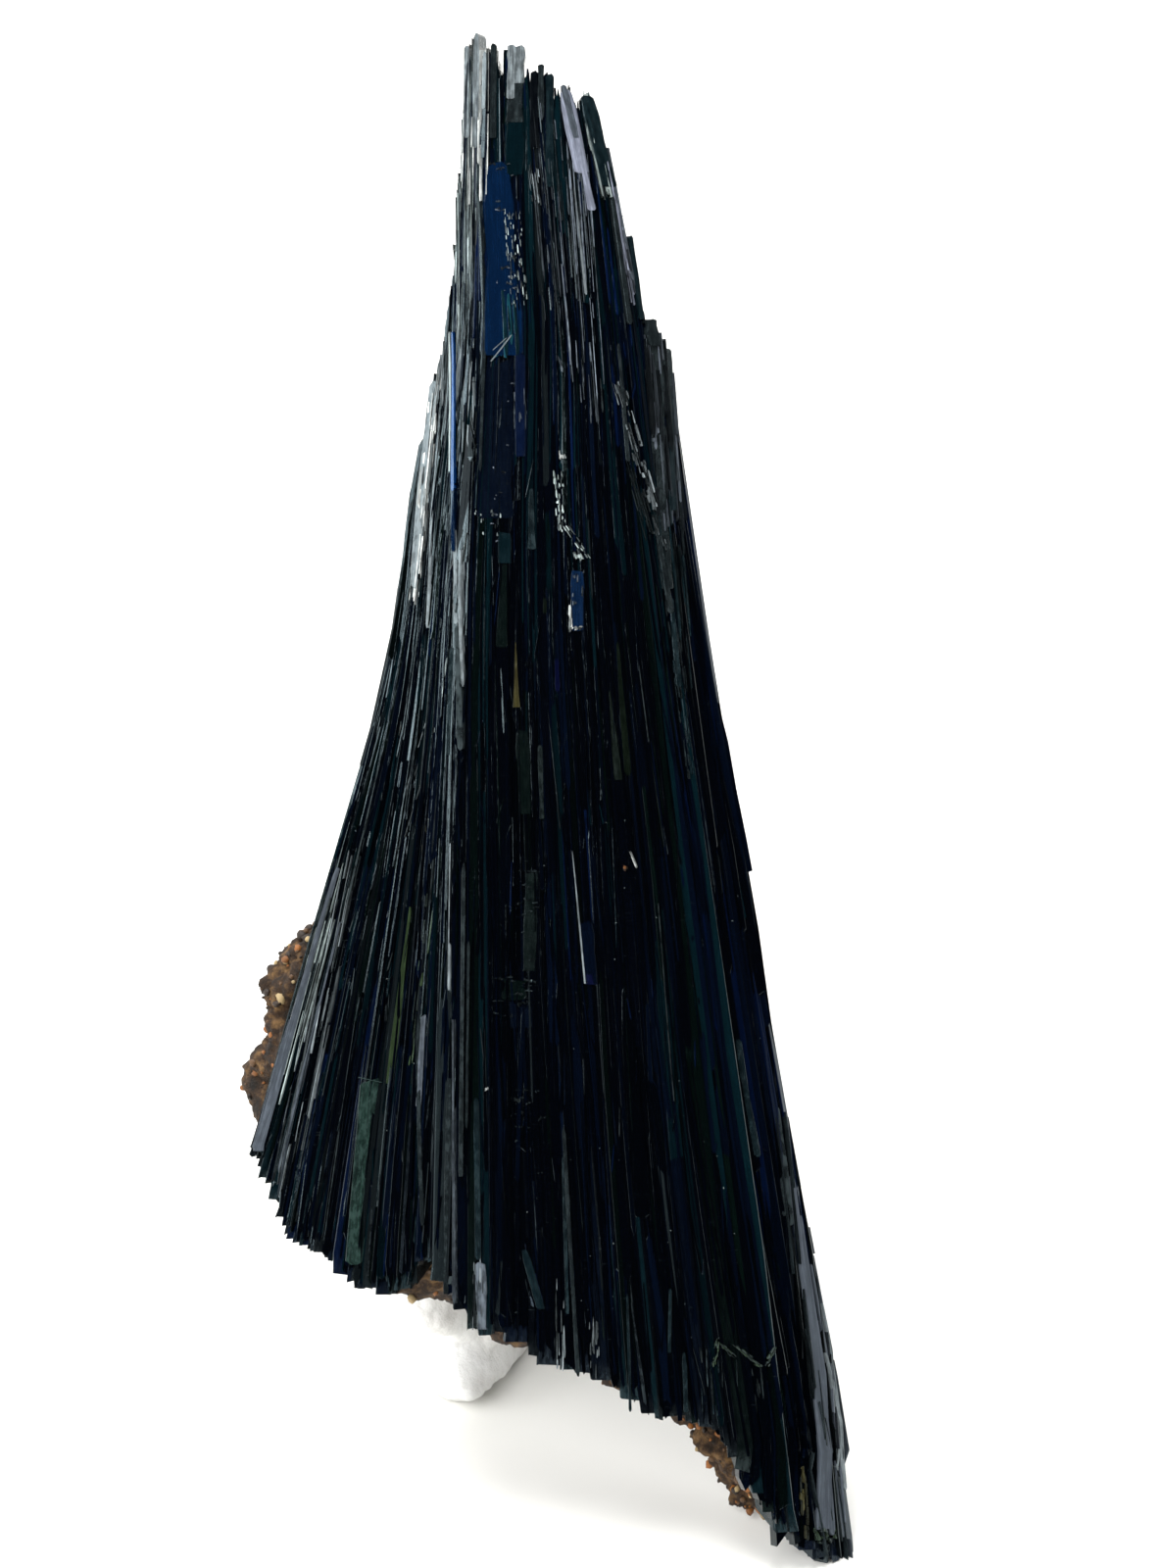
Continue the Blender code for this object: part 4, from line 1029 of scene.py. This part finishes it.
def putty_rings():
    """The putty's base outline carried up through the levels, with crumbs pushed in and out.

    Each ring is the smoothed outline times its level's scale and the sum of three waves, shifted.
    """
    rows, columns, smoothings = 150, 300, 60
    outline = np.array([*PUTTY_BASE, PUTTY_BASE[0]]) - PUTTY_MIDDLE
    base = resampled(outline, columns, endpoint=False)
    for _ in range(smoothings):
        base = (np.roll(base, 1, 0) + base + np.roll(base, -1, 0)) / 3
    height, scale, shift_x, shift_y = resampled(PUTTY_LEVELS, rows).T[..., None]
    t = np.linspace(0, 1, rows)
    around, level = np.meshgrid(np.arctan2(base[:, 1], base[:, 0]), t)
    bumps = (
        0.045 * np.sin(4 * around + 9 * level)
        + 0.04 * np.sin(7 * around - 17 * level + 1.3)
        + 0.025 * np.sin(11 * around + 29 * level)
    ) * np.minimum(1, level * 6)
    size = scale * (0.97 + bumps)
    x = PUTTY_MIDDLE[0] + shift_x + base[:, 0] * size
    y = PUTTY_MIDDLE[1] + shift_y + base[:, 1] * size
    points = np.stack([x, y, height + 0 * around], axis=2).reshape(-1, 3)
    out = unit(points - np.array([*PUTTY_MIDDLE, PUTTY_HEART]))
    off_floor = ramp(points[:, 2], 1.5)
    points = roughened(points, out, PUTTY_GRAINS, seed=10, sunk=0.4, strength=off_floor)
    return points.reshape(rows, columns, 3)


def on_base(points):
    """Points of the putty in millimetres, put in place, in metres."""
    return (np.array(points) - (*BASE_CENTRE, 0.0)) * MM


# ---- the object ----

crystal = crystal_material()
limonite = earthy_material(
    "limonite", ((0.005, 0.003, 0.0015), (0.032, 0.016, 0.007), (0.17, 0.095, 0.036)),
    scale=900.0, rough=0.85, depth=0.0004,
)  # fmt: skip
putty_white = earthy_material(
    "putty", ((0.72, 0.71, 0.69), (0.85, 0.85, 0.83), (0.93, 0.93, 0.92)),
    scale=260.0, rough=0.75, depth=0.0002,
)  # fmt: skip

middle = Blades(21)
grow_strips(middle, 0.0, 1.02, 0.008, 0.065, (0.0, 0.16), (0, 2.0))
scatter(middle, 420, 0.0, 1.0, (0.3, 1.6), (8, 55), (0.02, 0.16), lean=0.05, frosted=0.01)
scatter(middle, 900, 0.0, 1.0, (0.08, 0.35), (4, 35), (0.05, 0.24), lean=0.12, frosted=0.01)
marked_blades(middle)

wing = Blades(22)
grow_strips(wing, -1.03, 0.0, 0.012, 0.07, (0.0, 0.25), (0, 4))
scatter(wing, 350, -1.0, 0.02, (0.25, 0.9), (8, 45), (0.03, 0.3), lean=0.10, frosted=0.02)
scatter(wing, 900, -1.0, 0.02, (0.08, 0.3), (4, 30), (0.05, 0.4), lean=0.25, frosted=0.04)

fibres = Blades(24, SHORT)
bundles(fibres)
scatter(fibres, 900, 0.0, 1.0, (0.04, 0.14), (1, 14), (0.12, 0.28), lean=0.22, frosted=0.04)
scatter(fibres, 1100, -1.0, 0.02, (0.04, 0.14), (1, 12), (0.2, 0.42), lean=0.4, frosted=0.15)

rear = Blades(23)
grow_strips(rear, 1.0, 1.45, 0.03, 0.08, (0.0, 0.12), (0, 5), root=2.0)
grow_strips(rear, 1.45, 3.35, 0.03, 0.11, (0.05, 0.6), (0, 5), root=3.0)
grow_strips(rear, 3.35, 3.8, 0.03, 0.08, (0.0, 0.2), (0, 5), root=2.0)
scatter(rear, 900, 1.45, 3.35, (0.3, 1.8), (6, 50), (0.1, 0.7), lean=0.15, frosted=0.08)

heart = put("fan_heart", heart_mesh(), crystal)
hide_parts("vivianite_fan")
put("middle_blades", middle.mesh("middle_blades"), crystal)
put("wing_blades", wing.mesh("wing_blades"), crystal)
put("fine_fibres", fibres.mesh("fine_fibres"), crystal)
put("rear_blades", rear.mesh("rear_blades"), crystal)

rings = crust_rings()
ends = np.array([rings[0].mean(axis=0), rings[-1].mean(axis=0)])
crust = put("crust", closed_tube("crust", world(rings), world(ends)), limonite)
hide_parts("limonite_crust")
crumbs = crumbs_mesh(rings.reshape(-1, 3), count=1500, seed=31)
put("crumbs", crumbs, crumb_material())

ends = on_base([(*PUTTY_MIDDLE, 0.0), (PUTTY_MIDDLE[0], PUTTY_MIDDLE[1] - 1.0, PUTTY_TOP)])
putty = put("putty", closed_tube("putty", on_base(putty_rings()), ends), putty_white)
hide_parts("white_putty")

# ---- floor, light, camera ----

FLOOR_HALF = 1.6
# The middle of the framed part of the fan's front, its height and how far off the camera is.
FRAMED_MIDDLE = (8.385, 0.0, 50.8)
FRAMED_HEIGHT = 0.1032
CAMERA_DISTANCE = 0.33
SENSOR_HEIGHT = 36


def floor():
    """A wide level sheet, pale and faintly warm."""
    mesh = bpy.data.meshes.new("floor")
    corners = [(x * FLOOR_HALF, y * FLOOR_HALF, 0) for x, y in ((-1, -1), (1, -1), (1, 1), (-1, 1))]
    mesh.from_pydata(corners, [], [(0, 1, 2, 3)])
    obj = placed("floor", mesh)
    material, tree, shader = new_material("pale_floor")
    wire(tree, shader, Base_Color=(0.90, 0.895, 0.86), Roughness=0.6)
    mesh.materials.append(material)


def surroundings(toward_viewer):
    """White all round, brighter above, dimmer to the right, dark in a cone on the viewer's side."""
    sky = bpy.data.worlds.new("surroundings")
    bpy.context.scene.world = sky
    sky.use_nodes = True
    tree = sky.node_tree
    where = node(tree, "ShaderNodeTexCoord").outputs["Generated"]
    dot = node(tree, "ShaderNodeVectorMath", where, toward_viewer, operation="DOT_PRODUCT")
    split = node(tree, "ShaderNodeSeparateXYZ", where)
    cone = map_range(tree, dot.outputs["Value"], 0.30, 0.70, 1.0, 0.02, smooth=True)
    above = map_range(tree, split.outputs["Z"], 0.1, 1.0, 1.0, 1.7, smooth=True)
    aside = map_range(tree, split.outputs["X"], -0.2, 0.9, 1.0, 0.45, smooth=True)
    strength = maths(tree, "MULTIPLY", maths(tree, "MULTIPLY", cone, above), aside)
    wire(tree, tree.nodes["Background"], Color=(1.0, 1.0, 1.0), Strength=strength)


def lamp(name, place, target, size, power, mirrored=True):
    """A square soft light that faces its target and may be left out of reflections."""
    data = bpy.data.lights.new(name, "AREA")
    data.size = size
    data.energy = power
    obj = placed(name, data)
    obj.location = place
    obj.visible_glossy = mirrored
    obj.rotation_euler = (Vector(target) - Vector(place)).to_track_quat("-Z", "Y").to_euler()


def camera():
    """Looks square at the laid-back face from a third of a metre."""
    aim = Vector(world(np.array(FRAMED_MIDDLE)))
    heading = Vector((0, math.cos(LEAN), -math.sin(LEAN)))
    data = bpy.data.cameras.new("camera")
    data.sensor_fit = "VERTICAL"
    data.sensor_height = SENSOR_HEIGHT
    data.lens = SENSOR_HEIGHT * CAMERA_DISTANCE / FRAMED_HEIGHT
    data.clip_start = 0.01
    obj = placed("camera", data)
    obj.location = aim - CAMERA_DISTANCE * heading
    obj.rotation_euler = heading.to_track_quat("-Z", "Y").to_euler()
    bpy.context.scene.camera = obj


bpy.context.scene.view_settings.view_transform = "Standard"
floor()
surroundings(Vector((0.2, -math.cos(LEAN), math.sin(LEAN))).normalized())
lamp("key", (-0.35, 0.30, 0.55), (0, 0, 0.03), 0.30, 1.2)
lamp("overhead", (0.02, -0.10, 0.75), (0.01, -0.05, 0.0), 0.35, 4.5)
lamp("left_fill", (-0.55, -0.30, 0.30), (0, 0, 0.02), 0.20, 1.2)
lamp("front_fill", (-0.25, -0.50, 0.45), (0, -0.03, 0.02), 0.40, 4.5, mirrored=False)
camera()
